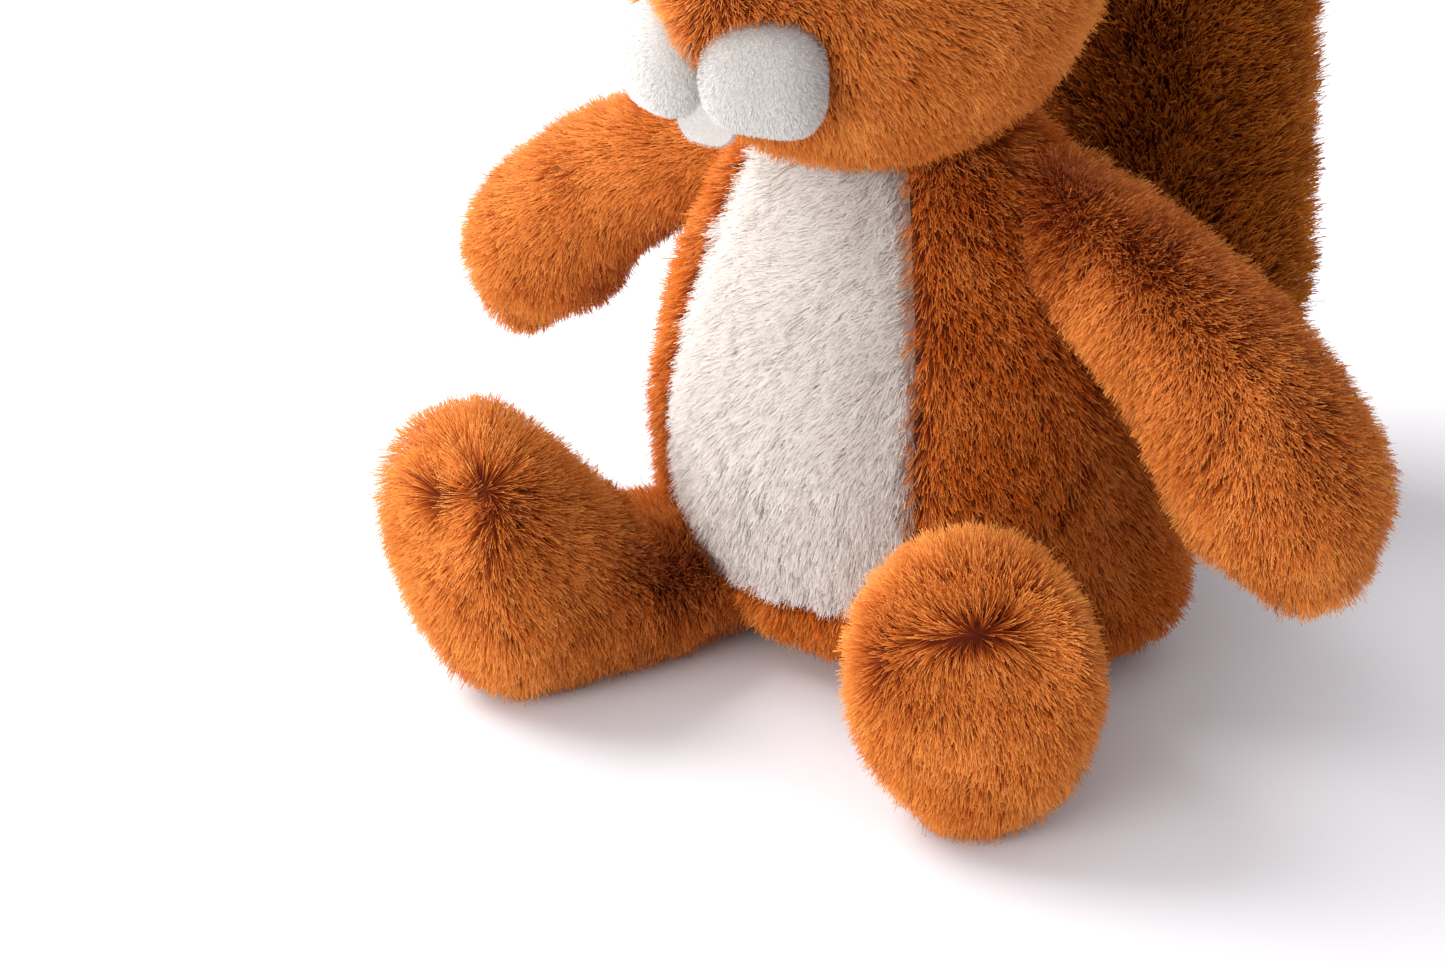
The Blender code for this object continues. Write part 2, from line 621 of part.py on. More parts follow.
def main():
    """Build the whole toy."""
    clear_scene()
    pile = make_material("orange_pile", "B2642F", 0.9)
    cream = make_material("cream_pile", "E6D9CE", 0.9)
    plush = make_material("white_plush", "EDEBE7", 0.9)
    felt = make_material("white_felt", "F0EFED", 0.95)
    plastic = make_material("black_plastic", "0B0A0A", 0.15)
    clip = make_material("clear_plastic", "D9DAD8", 0.4)
    stuffing = make_material("stuffing", "F2F0EA", 1.0)
    tail_pile = make_material("tail_pile", "7A3A16", 0.9)

    room = grown(body_rings()[::-1], GAP, flat_start=True)[::-1]
    body_room = guide(solid("body_room", room, room[-1].mean(axis=0), pile))
    room = grown(head_rings(BODY_SIDES), GAP)
    room[0, :, 2] -= GAP
    head_room = guide(solid("head_room", room, tip_of(room, HEAD_ROUNDNESS), pile))

    build_body(pile, cream, stuffing, head_room)
    head_cover, head_stuffing = build_head(pile, stuffing)
    build_muzzle(plush, felt, head_room)
    build_ears(pile, cream, head_room)

    eye_height = head_base() + EYE_HEIGHT_ON_HEAD
    nose_height = head_base() + NOSE_HEIGHT_ON_HEAD
    button("eye_left", EYE_SIDE, eye_height, EYE_RADIUS, EYE_RISE, plastic, clip, head_cover, head_stuffing)
    button("eye_right", -EYE_SIDE, eye_height, EYE_RADIUS, EYE_RISE, plastic, clip, head_cover, head_stuffing)
    button("nose", 0.0, nose_height, NOSE_RADIUS, NOSE_RISE, plastic, clip, head_cover, head_stuffing)

    limb_cutters = (body_room, head_room)
    arms = (("arm_left", 1, ARM_LEFT_SWING, 0.0, ARM_LEFT_RADIUS),
            ("arm_right", -1, ARM_RIGHT_SWING, ARM_RIGHT_LIFT, ARM_RIGHT_RADIUS))
    for name, side, swing, lift, radius in arms:
        cover_and_fill(name, arm_rings(side, swing, lift, radius, LIMB_SIDES), pile, stuffing, limb_cutters)
    legs = (("leg_left", 1, LEG_LEFT_TURN, FOOT_LEFT_LEAN, LEG_LEFT_LENGTH),
            ("leg_right", -1, LEG_RIGHT_TURN, FOOT_RIGHT_LEAN, LEG_RIGHT_LENGTH))
    for name, side, turn, lean, length in legs:
        cover_and_fill(name, leg_rings(side, turn, lean, length, LIMB_SIDES), pile, stuffing, limb_cutters)
    cover_and_fill("tail", tail_rings(LIMB_SIDES), tail_pile, stuffing, limb_cutters)


main()
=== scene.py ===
"""Seated plush squirrel: pile-covered panels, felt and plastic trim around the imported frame.

The toy sits on the floor at z = 0 and faces -Y. Left and right are the toy's own. Lengths are in metres.
"""

import json
import logging
import math
from collections.abc import Callable
from dataclasses import dataclass, field
from enum import Enum

import bmesh
import bpy
import numpy as np
from mathutils import Matrix, Vector
from mathutils.bvhtree import BVHTree
from mathutils.kdtree import KDTree

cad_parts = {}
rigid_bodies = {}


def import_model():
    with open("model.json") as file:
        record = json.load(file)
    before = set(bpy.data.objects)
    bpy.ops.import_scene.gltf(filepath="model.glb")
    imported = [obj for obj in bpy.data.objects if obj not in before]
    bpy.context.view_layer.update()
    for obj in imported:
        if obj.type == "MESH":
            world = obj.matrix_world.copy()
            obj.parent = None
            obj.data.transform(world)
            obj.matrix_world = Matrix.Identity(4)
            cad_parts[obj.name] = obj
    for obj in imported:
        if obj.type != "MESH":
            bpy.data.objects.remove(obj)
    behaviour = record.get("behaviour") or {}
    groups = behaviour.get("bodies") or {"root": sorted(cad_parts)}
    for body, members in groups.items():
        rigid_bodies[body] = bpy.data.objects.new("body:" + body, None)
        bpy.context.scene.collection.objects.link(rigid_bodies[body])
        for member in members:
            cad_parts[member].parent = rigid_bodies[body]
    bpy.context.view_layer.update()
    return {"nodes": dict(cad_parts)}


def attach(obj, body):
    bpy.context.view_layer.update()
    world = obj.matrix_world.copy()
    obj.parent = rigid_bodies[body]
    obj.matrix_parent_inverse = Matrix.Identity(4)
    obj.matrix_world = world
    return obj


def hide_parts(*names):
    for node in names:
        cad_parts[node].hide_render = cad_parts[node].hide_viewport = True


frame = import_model()

LOG = logging.getLogger("squirrel")
Array = np.ndarray
Place = tuple[float, float, float]
Stops = tuple[tuple[float, str], ...]
BODY = "root"
UV_MAP = "OFBake"
TINY = 1e-9
FLOOR_CLEAR = 0.0002


class Side(Enum):
    """The toy's own left and right, with the sign of X there."""

    LEFT = 1
    RIGHT = -1

    @property
    def word(self) -> str:
        """The side's name as it stands in piece names."""
        return self.name.lower()


# Numbers and vectors


def linear(hex_colour: str) -> tuple[float, float, float, float]:
    """Turn a hex sRGB colour to a linear one.

    Args:
        hex_colour: six hex digits.

    Returns:
        Red, green, blue and alpha for a shader socket.
    """
    channels = [int(hex_colour[i:i + 2], 16) / 255 for i in (0, 2, 4)]
    red, green, blue = (c / 12.92 if c <= 0.04045 else ((c + 0.055) / 1.055) ** 2.4 for c in channels)
    return red, green, blue, 1.0


def unit(vectors: Array) -> Array:
    """Vectors at length one along the last axis."""
    return vectors / np.maximum(np.linalg.norm(vectors, axis=-1, keepdims=True), TINY)


def smooth_rows(rows: list[tuple[float, ...]], count: int) -> Array:
    """Read even steps off a Catmull-Rom curve.

    Args:
        rows: rows of numbers that the curve passes through.
        count: how many rows to read.

    Returns:
        An array of count rows.
    """
    known = np.array(rows, dtype=float)
    padded = np.vstack([2 * known[0] - known[1], known, 2 * known[-1] - known[-2]])
    read = []
    for step in np.linspace(0, len(known) - 1, count):
        index = min(int(step), len(known) - 2)
        t = step - index
        a, b, c, d = padded[index:index + 4]
        read.append(0.5 * (2 * b + (c - a) * t + (2 * a - 5 * b + 4 * c - d) * t ** 2
                           + (3 * b - a - 3 * c + d) * t ** 3))
    return np.array(read)


def ripple(points: Array, wavelength: float, seed: int, waves: int = 7) -> Array:
    """Smooth noise in space made of crossing waves.

    Args:
        points: places to read it at.
        wavelength: typical length of one wave.
        seed: picks the directions and phases.
        waves: how many waves are added up.

    Returns:
        One value a point, mostly between -1 and 1.
    """
    draw = np.random.default_rng(seed)
    directions = unit(draw.normal(size=(waves, 3)))
    lengths = wavelength * draw.uniform(0.7, 1.5, waves)
    phases = draw.uniform(0, 2 * np.pi, waves)
    total = np.zeros(len(points))
    for direction, length, phase in zip(directions, lengths, phases):
        total += np.sin(points @ direction * (2 * np.pi / length) + phase)
    return total / math.sqrt(waves)


# Outlines


def ellipse(center: Array, first: Array, second: Array, sides: int) -> Array:
    """Points round an ellipse with the two given half axes."""
    turns = 2 * np.pi * np.arange(sides) / sides
    return center + np.outer(np.cos(turns), first) + np.outer(np.sin(turns), second)


def upright_rings(rows: Array, sides: int) -> Array:
    """Lay level rings one above the other.

    Args:
        rows: height, half width, front y and back y of each.
        sides: points in a ring.

    Returns:
        Array of rings.
    """
    rings = []
    for height, half_width, front, back in rows:
        center = np.array([0.0, (front + back) / 2, height])
        half_depth = np.array([0, (back - front) / 2, 0])
        rings.append(ellipse(center, np.array([half_width, 0, 0]), half_depth, sides))
    return np.array(rings)


def limb_rings(rows: Array, reference: Array, sides: int) -> Array:
    """Rings round a middle line.

    Args:
        rows: x, y, z, half size along the reference and half size across it.
        reference: direction that the first half axis leans towards.
        sides: points in a ring.

    Returns:
        Array of rings.
    """
    rings = []
    for row, direction in zip(rows, np.gradient(rows[:, :3], axis=0)):
        across = unit(np.cross(direction, reference))
        along = unit(np.cross(across, direction))
        rings.append(ellipse(row[:3], along * row[3], across * row[4], sides))
    return np.array(rings)


def ring_normals(rings: Array) -> Array:
    """Outward surface normals at the points of a stack of rings."""
    around = np.roll(rings, -1, axis=1) - np.roll(rings, 1, axis=1)
    along = np.gradient(rings, axis=0)
    normals = unit(np.cross(around, along))
    centers = rings.mean(axis=1)[:, None, :]
    return normals if ((rings - centers) * normals).sum() > 0 else -normals


def rounded_end(rings: Array, roundness: float, steps: int = 3) -> Array:
    """Close a stack of rings with a few shrinking rings, so that its end is a dome.

    Args:
        rings: open stack of rings.
        roundness: how far the dome stands out, as a share of the last ring's radius.
        steps: rings added.

    Returns:
        The longer stack.
    """
    center = rings[-1].mean(axis=0)
    ahead = unit(center - rings[-2].mean(axis=0))
    reach = np.linalg.norm(rings[-1] - center, axis=1).mean() * roundness
    added = []
    for turn in np.linspace(0, math.pi / 2, steps + 2)[1:-1]:
        added.append(center + ahead * reach * math.sin(turn) + (rings[-1] - center) * math.cos(turn))
    return np.concatenate([rings, np.array(added)])


@dataclass
class Surface:
    """A closed skin as plain arrays."""

    points: Array
    triangles: Array

    def crosses(self) -> Array:
        """Outward vector of each triangle, twice its area long."""
        corners = self.points[self.triangles]
        return np.cross(corners[:, 1] - corners[:, 0], corners[:, 2] - corners[:, 0])

    def normals(self) -> Array:
        """Outward normal of each point, weighted by area."""
        crosses = self.crosses()
        total = np.zeros_like(self.points)
        for corner in range(3):
            np.add.at(total, self.triangles[:, corner], crosses)
        return unit(total)

    def areas(self) -> Array:
        """Area of each triangle."""
        return np.linalg.norm(self.crosses(), axis=1) / 2


@dataclass
class Solid:
    """A closed skin that can say what lies inside it, and how far away it is."""

    tree: BVHTree
    low: Array
    high: Array

    @classmethod
    def of(cls, item: bpy.types.Object) -> "Solid":
        """Read a skin object."""
        surface = surface_of(item)
        tree = BVHTree.FromPolygons(surface.points.tolist(), surface.triangles.tolist())
        return cls(tree, surface.points.min(axis=0), surface.points.max(axis=0))

    def near(self, points: Array, margin: float) -> Array:
        """Indices of the places in the skin's box, widened by a margin."""
        return np.flatnonzero(((points > self.low - margin) & (points < self.high + margin)).all(axis=1))

    def holds(self, points: Array, margin: float = 0.0) -> Array:
        """Say which places lie inside the skin.

        Args:
            points: places to test.
            margin: how far outside the skin still counts.

        Returns:
            One truth value a place.
        """
        found = np.zeros(len(points), dtype=bool)
        for index in self.near(points, margin):
            point = points[index].tolist()
            place, normal, _, distance = self.tree.find_nearest(point)
            found[index] = distance < margin or (Vector(point) - place).dot(normal) < 0
        return found

    def distance(self, points: Array, limit: float) -> Array:
        """Measure from the skin to some places.

        Args:
            points: places to measure to.
            limit: distance that stands for all that is farther.

        Returns:
            One distance a place.
        """
        found = np.full(len(points), limit)
        for index in self.near(points, limit):
            found[index] = min(limit, self.tree.find_nearest(points[index].tolist())[3])
        return found


def clear_of(points: Array, solids: list[Solid], margin: float = 0.0) -> Array:
    """Say which places lie outside all of some skins.

    Args:
        points: places to test.
        solids: the skins.
        margin: how far outside a skin still counts as inside.

    Returns:
        One truth value a place.
    """
    free = np.ones(len(points), dtype=bool)
    for solid in solids:
        free &= ~solid.holds(points, margin)
    return free


# Meshes


def deselect() -> None:
    """Leave nothing selected before an operator acts."""
    for item in bpy.context.view_layer.objects:
        item.select_set(False)


def activate(item: bpy.types.Object) -> None:
    """Make one object the only selected one."""
    deselect()
    item.select_set(True)
    bpy.context.view_layer.objects.active = item


def link_mesh(name: str, points: Array, faces: list[tuple[int, ...]]) -> bpy.types.Object:
    """Put a new mesh in the scene with its faces pointing out.

    Args:
        name: name of the object and its mesh.
        points: its vertices; equal ones are merged.
        faces: indices of each face's vertices.

    Returns:
        The new object.
    """
    mesh = bpy.data.meshes.new(name)
    mesh.from_pydata(points.tolist(), [], faces)
    shape = bmesh.new()
    shape.from_mesh(mesh)
    bmesh.ops.remove_doubles(shape, verts=shape.verts, dist=1e-6)
    bmesh.ops.recalc_face_normals(shape, faces=shape.faces)
    shape.to_mesh(mesh)
    shape.free()
    item = bpy.data.objects.new(name, mesh)
    bpy.context.scene.collection.objects.link(item)
    return item


def loft(name: str, rings: Array) -> bpy.types.Object:
    """Make a closed skin from a stack of rings, each end closed by a point in its middle.

    Args:
        name: name of the new object.
        rings: the stack, with as many points in each ring.

    Returns:
        The skin.
    """
    count, sides, _ = rings.shape
    points = np.vstack([rings.reshape(-1, 3), rings[0].mean(axis=0), rings[-1].mean(axis=0)])
    faces: list[tuple[int, ...]] = []
    for row in range(count - 1):
        low, high = row * sides, (row + 1) * sides
        faces += [(low + i, low + (i + 1) % sides, high + (i + 1) % sides, high + i) for i in range(sides)]
    last = (count - 1) * sides
    faces += [(i, (i + 1) % sides, count * sides) for i in range(sides)]
    faces += [(last + i, last + (i + 1) % sides, count * sides + 1) for i in range(sides)]
    return link_mesh(name, points, faces)


def combine(item: bpy.types.Object, other: bpy.types.Object, operation: str) -> None:
    """Apply a Boolean of one skin with another.

    Args:
        item: skin that changes.
        other: skin that it is combined with.
        operation: Blender's name for the Boolean.
    """
    modifier = item.modifiers.new("trim", "BOOLEAN")
    modifier.operation = operation
    modifier.solver = "EXACT"
    modifier.object = other
    activate(item)
    bpy.ops.object.modifier_apply(modifier=modifier.name)


def copied(item: bpy.types.Object) -> bpy.types.Object:
    """Second object with its own mesh."""
    twin = item.copy()
    twin.data = item.data.copy()
    bpy.context.scene.collection.objects.link(twin)
    return twin


def discard(*items: bpy.types.Object) -> None:
    """Remove helper objects."""
    for item in items:
        bpy.data.objects.remove(item, do_unlink=True)


def surface_of(item: bpy.types.Object) -> Surface:
    """Read an object's mesh as triangles."""
    mesh = item.data
    mesh.calc_loop_triangles()
    points = np.empty(len(mesh.vertices) * 3)
    mesh.vertices.foreach_get("co", points)
    triangles = np.empty(len(mesh.loop_triangles) * 3, dtype=np.int32)
    mesh.loop_triangles.foreach_get("vertices", triangles)
    return Surface(points.reshape(-1, 3), triangles.reshape(-1, 3))


# Finishes


def add_node(owner: bpy.types.Material | bpy.types.World, kind: str, settings: dict | None = None,
             **links: bpy.types.NodeSocket) -> bpy.types.Node:
    """Add a shader node.

    Args:
        owner: material or world whose node tree takes the node.
        kind: Blender's name for the kind of node.
        settings: attribute or input values by name.
        links: sockets by input name, with spaces written as underscores.

    Returns:
        The new node.
    """
    tree = owner.node_tree
    node = tree.nodes.new(kind)
    for key, value in (settings or {}).items():
        if isinstance(key, int) or key in node.inputs:
            node.inputs[key].default_value = value
        else:
            setattr(node, key, value)
    for key, socket in links.items():
        tree.links.new(socket, node.inputs[int(key[2:]) if key.startswith("n_") else key.replace("_", " ")])
    return node


def new_material(name: str) -> bpy.types.Material:
    """Empty node material."""
    material = bpy.data.materials.new(name)
    material.use_nodes = True
    material.node_tree.nodes.clear()
    return material


def set_ramp(node: bpy.types.Node, stops: Stops) -> None:
    """Write the stops of a colour ramp from positions and hex colours."""
    ramp = node.color_ramp
    while len(ramp.elements) < len(stops):
        ramp.elements.new(0.5)
    for element, (position, colour) in zip(ramp.elements, stops):
        element.position = position
        element.color = linear(colour)


@dataclass(frozen=True)
class PileFinish:
    """Knitted polyester pile: matt fibres that let some light through, with painted shade darkening them
    towards the backing.
    """

    name: str
    slot: str
    dull: Stops
    bright: Stops
    roughness: float = 0.75
    sheen: float = 0.04
    glow: float = 0.34

    def build(self) -> bpy.types.Material:
        """Make the material: tone across the map, root to tip up it."""
        material = new_material(self.name)
        place = add_node(material, "ShaderNodeUVMap", {"uv_map": UV_MAP})
        parts = add_node(material, "ShaderNodeSeparateXYZ", Vector=place.outputs["UV"])
        # Fibres differ a little in dye: a streak pattern that changes from strand to strand only
        streak = add_node(material, "ShaderNodeTexNoise",
                          {"Scale": 90.0, "Detail": 1.0, "noise_dimensions": "1D"}, W=parts.outputs["X"])
        spread = add_node(material, "ShaderNodeMath", {"operation": "MULTIPLY_ADD", 1: 0.5, 2: -0.25},
                          n_0=streak.outputs["Fac"])
        tone = add_node(material, "ShaderNodeMath", {"operation": "ADD", "use_clamp": True},
                        n_0=parts.outputs["X"], n_1=spread.outputs[0])
        low, high = (self.ramp(material, stops, parts.outputs["Y"]) for stops in (self.dull, self.bright))
        colour = add_node(material, "ShaderNodeMix", {"data_type": "RGBA"}, n_0=tone.outputs[0],
                          n_6=low.outputs["Color"], n_7=high.outputs["Color"])
        gloss = {"Roughness": self.roughness, "Specular IOR Level": 0.12, "Sheen Weight": self.sheen,
                 "Sheen Roughness": 0.4}
        fibre = add_node(material, "ShaderNodeBsdfPrincipled", gloss, Base_Color=colour.outputs[2])
        through = add_node(material, "ShaderNodeBsdfTranslucent", Color=colour.outputs[2])
        both = add_node(material, "ShaderNodeMixShader", {0: self.glow}, n_1=fibre.outputs[0],
                        n_2=through.outputs[0])
        add_node(material, "ShaderNodeOutputMaterial", Surface=both.outputs[0])
        return material

    @staticmethod
    def ramp(material: bpy.types.Material, stops: Stops, height: bpy.types.NodeSocket) -> bpy.types.Node:
        """Colour ramp from the root of a strand to its tip; the dark root end is painted shade deep in the
        pile.
        """
        node = add_node(material, "ShaderNodeValToRGB", Fac=height)
        set_ramp(node, stops)
        return node


@dataclass(frozen=True)
class PlasticFinish:
    """Injection-moulded plastic: even colour, with the faint haze of handling in its gloss."""

    name: str
    colour: str
    roughness: tuple[float, float]
    clearness: float = 0.0

    def build(self) -> bpy.types.Material:
        """Make the material."""
        material = new_material(self.name)
        place = add_node(material, "ShaderNodeTexCoord")
        # Haze in patches of about 3 mm
        haze = add_node(material, "ShaderNodeTexNoise", {"Scale": 330.0, "Detail": 3.0},
                        Vector=place.outputs["Object"])
        smooth, rough = self.roughness
        gloss = add_node(material, "ShaderNodeMapRange", {"To Min": smooth, "To Max": rough},
                         Value=haze.outputs["Fac"])
        colour = linear(self.colour)
        paler = tuple(1.25 * channel for channel in colour)
        tint = add_node(material, "ShaderNodeMix", {"data_type": "RGBA", 6: colour, 7: paler},
                        n_0=haze.outputs["Fac"])
        dimple = add_node(material, "ShaderNodeBump", {"Strength": 0.04, "Distance": 0.0002},
                          Height=haze.outputs["Fac"])
        shell = add_node(material, "ShaderNodeBsdfPrincipled",
                         {"IOR": 1.5, "Transmission Weight": self.clearness, "Coat Weight": 0.2},
                         Base_Color=tint.outputs[2], Roughness=gloss.outputs[0], Normal=dimple.outputs[0])
        add_node(material, "ShaderNodeOutputMaterial", Surface=shell.outputs[0])
        return material


# Pile


def in_skin(vectors: Array, normals: Array) -> Array:
    """Vectors laid into the skin: their part along its normals is taken out."""
    return vectors - normals * (vectors * normals).sum(axis=1, keepdims=True)


@dataclass(frozen=True)
class Parting:
    """A line where the pile falls away to both sides and shows its roots, with painted shade darkening it.
    """

    start: Place
    end: Place
    reach: float = 0.020
    roots: float = 0.008
    depth: float = 0.8
    pull: float = 1.0

    def away(self, points: Array) -> Array:
        """Vectors to some places, each from the nearest point of the line."""
        start = np.array(self.start)
        line = np.array(self.end) - start
        share = np.clip((points - start) @ line / max(line @ line, TINY), 0, 1)
        return points - (start + share[:, None] * line)


@dataclass(frozen=True)
class Pile:
    """How the pile of one panel is cut and lies: strands per square metre, lengths in metres, degrees."""

    density: float = 4.5e6
    length: float = 0.0080
    width: float = 0.00017
    tuft: float = 0.0020
    lean: float = 44.0
    lean_spread: float = 8.0
    scatter: float = 0.42
    gather: float = 0.10
    wander: float = 0.30
    pointed: float = 0.15
    # Mean tone between the dull and bright ramps; lowered on the body as painted shade
    tone: float = 0.56


@dataclass(frozen=True)
class Chance:
    """How much strands, tufts and patches of any pile differ: shares, if nothing else is said."""

    wander_wave: float = 0.028
    patch_wave: float = 0.020
    tuft_turn: float = 0.18
    tuft_degrees: float = 5.0
    patch_lean: float = 0.10
    strand_length: float = 0.10
    tuft_length: float = 0.05
    least_length: float = 0.5
    most_length: float = 1.4
    pointed_length: float = 1.12
    least_gather: float = 0.3
    roll: float = 0.6
    width: tuple[float, float] = (0.7, 1.25)
    tone: float = 0.10
    dye_step: float = 0.006
    # What bare roots take from the lean, the length and the tone; the tone taken is painted shade along
    # partings and creases
    bare_lean: float = 0.55
    bare_length: float = 0.18
    bare_tuft: float = 0.2
    parting_shade_tone: float = 0.50
    # Weights of a strand's own normal and the skin's
    own_normal: float = 0.40
    skin_normal: float = 0.80


CHANCE = Chance()


@dataclass
class Comb:
    """The way that the pile runs over a panel."""

    run: Callable[[Array], Array]
    partings: list[Parting] = field(default_factory=list)

    def read(self, points: Array, normals: Array) -> tuple[Array, Array]:
        """Read the comb at some places.

        Args:
            points: places on the skin.
            normals: outward normals there.

        Returns:
            Unit directions in the skin, and from 0 to 1 how far the roots show and how much painted shade
            darkens the pile there.
        """
        flow = unit(self.run(points))
        bare_and_shaded = np.zeros(len(points))
        for parting in self.partings:
            away = in_skin(parting.away(points), normals)
            distance = np.linalg.norm(away, axis=1)
            pull = parting.pull * np.exp(-(distance / parting.reach) ** 2)[:, None]
            flow = flow * (1 - pull) + unit(away) * pull
            bare_and_shaded = np.maximum(bare_and_shaded, parting.depth * np.exp(-(distance / parting.roots) ** 2))
        return unit(in_skin(flow, normals)), bare_and_shaded


def downward(aside: Array) -> Array:
    """Directions that lead down, with a share to the toy's left."""
    return np.stack([aside, 0 * aside, 0 * aside - 1], axis=1)


def scatter_points(surface: Surface, count: int, draw: np.random.Generator) -> tuple[Array, Array]:
    """Spread places evenly over a skin.

    Args:
        surface: the skin.
        count: how many places.
        draw: seeded source of chance.

    Returns:
        The places and the skin's normals there.
    """
    corners = surface.points[surface.triangles]
    areas = surface.areas()
    steps = (np.arange(count) + draw.random(count)) / count
    faces = np.searchsorted(np.cumsum(areas) / areas.sum(), steps).clip(0, len(areas) - 1)
    first, second = draw.random(count), draw.random(count)
    over = first + second > 1
    first[over], second[over] = 1 - first[over], 1 - second[over]
    weights = np.stack([1 - first - second, first, second], axis=1)[:, :, None]
    normals = surface.normals()[surface.triangles[faces]]
    return (corners[faces] * weights).sum(axis=1), unit((normals * weights).sum(axis=1))


@dataclass
class PileCoat:
    """Grows strands of pile on a skin and joins them to it as one piece."""

    name: str
    pile: Pile
    comb: Comb
    seed: int
    keep: Callable[[Array], Array] | None = None
    seam: Callable[[Array], Array] | None = None
    seam_reach: float = 0.0020
    seam_cut: float = 0.40

    def strands(self, surface: Surface) -> tuple[Array, Array, Array]:
        """Make the strands.

        Args:
            surface: skin that they stand on.

        Returns:
            Points, normals and map places, three of each a strand: one at an end, two at the other.
        """
        pile = self.pile
        draw = np.random.default_rng(self.seed)
        area = surface.areas().sum()
        roots, normals = scatter_points(surface, int(area * pile.density), draw)
        if self.keep is not None:
            kept = self.keep(roots)
            roots, normals = roots[kept], normals[kept]
        count = len(roots)
        centers, center_normals = scatter_points(surface, max(8, int(area / pile.tuft ** 2)), draw)
        owner = self.nearest(centers, roots)

        flow, bare_and_shaded = self.comb.read(roots, normals)
        center_flow, center_bare = self.comb.read(centers, center_normals)
        wander = ripple(roots, CHANCE.wander_wave, self.seed + 1)
        patch = ripple(roots, CHANCE.patch_wave, self.seed + 2)
        luck = draw.normal(size=(len(centers), 4))[owner]

        turn = pile.wander * wander + pile.scatter * draw.normal(size=count) + CHANCE.tuft_turn * luck[:, 0]
        sideways = np.cross(normals, flow)
        heading = flow * np.cos(turn)[:, None] + sideways * np.sin(turn)[:, None]
        lean = np.radians(pile.lean * (1 - CHANCE.bare_lean * bare_and_shaded) * (1 + CHANCE.patch_lean * patch)
                          + pile.lean_spread * draw.normal(size=count) + CHANCE.tuft_degrees * luck[:, 1])
        share = 1 + CHANCE.strand_length * draw.normal(size=count) + CHANCE.tuft_length * luck[:, 2]
        length = pile.length * share.clip(CHANCE.least_length, CHANCE.most_length)
        length *= 1 - CHANCE.bare_length * bare_and_shaded
        if self.seam is not None:
            length *= 1 - self.seam_cut * np.exp(-(self.seam(roots) / self.seam_reach) ** 2)
        pointed = draw.random(count) < pile.pointed
        length *= np.where(pointed, CHANCE.pointed_length, 1.0)
        tips = roots + (normals * np.cos(lean)[:, None] + heading * np.sin(lean)[:, None]) * length[:, None]

        mean_lean = math.radians(pile.lean)
        reach = pile.length * (1 - CHANCE.bare_tuft * center_bare[:, None])
        tuft_way = center_normals * math.cos(mean_lean) + center_flow * math.sin(mean_lean)
        tuft_tips = centers + tuft_way * reach
        pull = pile.gather * draw.uniform(CHANCE.least_gather, 1.0, count)
        tips += (tuft_tips[owner] - tips) * pull[:, None]
        tips[:, 2] = np.maximum(tips[:, 2], FLOOR_CLEAR)
        points, shades = self.blades(roots, tips, normals, pointed, draw)

        # Tone sinks where roots show: painted shade along partings, creases and whorls
        tone = (pile.tone + CHANCE.tone * (luck[:, 3] + draw.normal(size=count) + patch)
                - CHANCE.parting_shade_tone * bare_and_shaded * draw.uniform(0.4, 1.0, count)).clip(0.03, 0.97)
        alone = pointed.astype(float)
        corners = ((0.0, alone), (-CHANCE.dye_step, 1 - alone), (CHANCE.dye_step, 1 - alone))
        places = [np.stack([tone + step, height], 1) for step, height in corners]
        return points.reshape(-1, 3), shades.reshape(-1, 3), np.stack(places, axis=1).reshape(-1, 2)

    def blades(self, roots: Array, tips: Array, normals: Array, pointed: Array,
               draw: np.random.Generator) -> tuple[Array, Array]:
        """Widen strands to triangles.

        Args:
            roots: where they stand.
            tips: where they end.
            normals: the skin's normals at their roots.
            pointed: which of them run out to a point; the others widen to a soft end.
            draw: seeded source of chance.

        Returns:
            Three points and three normals a strand.
        """
        count = len(roots)
        along = unit(tips - roots)
        across = unit(np.cross(along, normals))
        roll = draw.normal(size=count) * CHANCE.roll
        side = across * np.cos(roll)[:, None] + np.cross(across, along) * np.sin(roll)[:, None]
        half = side * (self.pile.width / 2 * draw.uniform(*CHANCE.width, count))[:, None]
        soft = np.stack([roots, tips - half, tips + half], axis=1)
        sharp = np.stack([tips, roots + half, roots - half], axis=1)
        points = np.where(pointed[:, None, None], sharp, soft)
        points[:, :, 2] = np.maximum(points[:, :, 2], FLOOR_CLEAR)
        face = unit(np.cross(side, along))
        face *= np.where((face * normals).sum(axis=1) < 0, -1.0, 1.0)[:, None]
        shades = unit(face * CHANCE.own_normal + normals * CHANCE.skin_normal)
        return points, np.repeat(shades[:, None, :], 3, axis=1)

    @staticmethod
    def nearest(centers: Array, points: Array) -> Array:
        """Index of the tuft that each strand belongs to."""
        tree = KDTree(len(centers))
        for index, center in enumerate(centers.tolist()):
            tree.insert(center, index)
        tree.balance()
        owners = (tree.find(point)[1] for point in points.tolist())
        return np.fromiter(owners, dtype=np.int64, count=len(points))

    def cover(self, skin: bpy.types.Object, finish: bpy.types.Material) -> bpy.types.Object:
        """Turn a skin into the finished piece.

        Args:
            skin: closed skin; it is removed.
            finish: pile material.

        Returns:
            The piece, skin and strands in one mesh.
        """
        surface = surface_of(skin)
        points, shades, places = self.strands(surface)
        base = len(surface.points)
        blades = base + 3 * np.arange(len(points) // 3)[:, None] + np.array([0, 2, 1])
        triangles = np.vstack([surface.triangles, blades])
        all_points = np.vstack([surface.points, points])

        mesh = bpy.data.meshes.new(self.name)
        mesh.vertices.add(len(all_points))
        mesh.vertices.foreach_set("co", all_points.ravel())
        mesh.loops.add(triangles.size)
        mesh.loops.foreach_set("vertex_index", triangles.ravel().astype(np.int32))
        mesh.polygons.add(len(triangles))
        mesh.polygons.foreach_set("loop_start", np.arange(0, triangles.size, 3, dtype=np.int32))
        mesh.polygons.foreach_set("use_smooth", np.ones(len(triangles), dtype=bool))
        mesh.update(calc_edges=True)

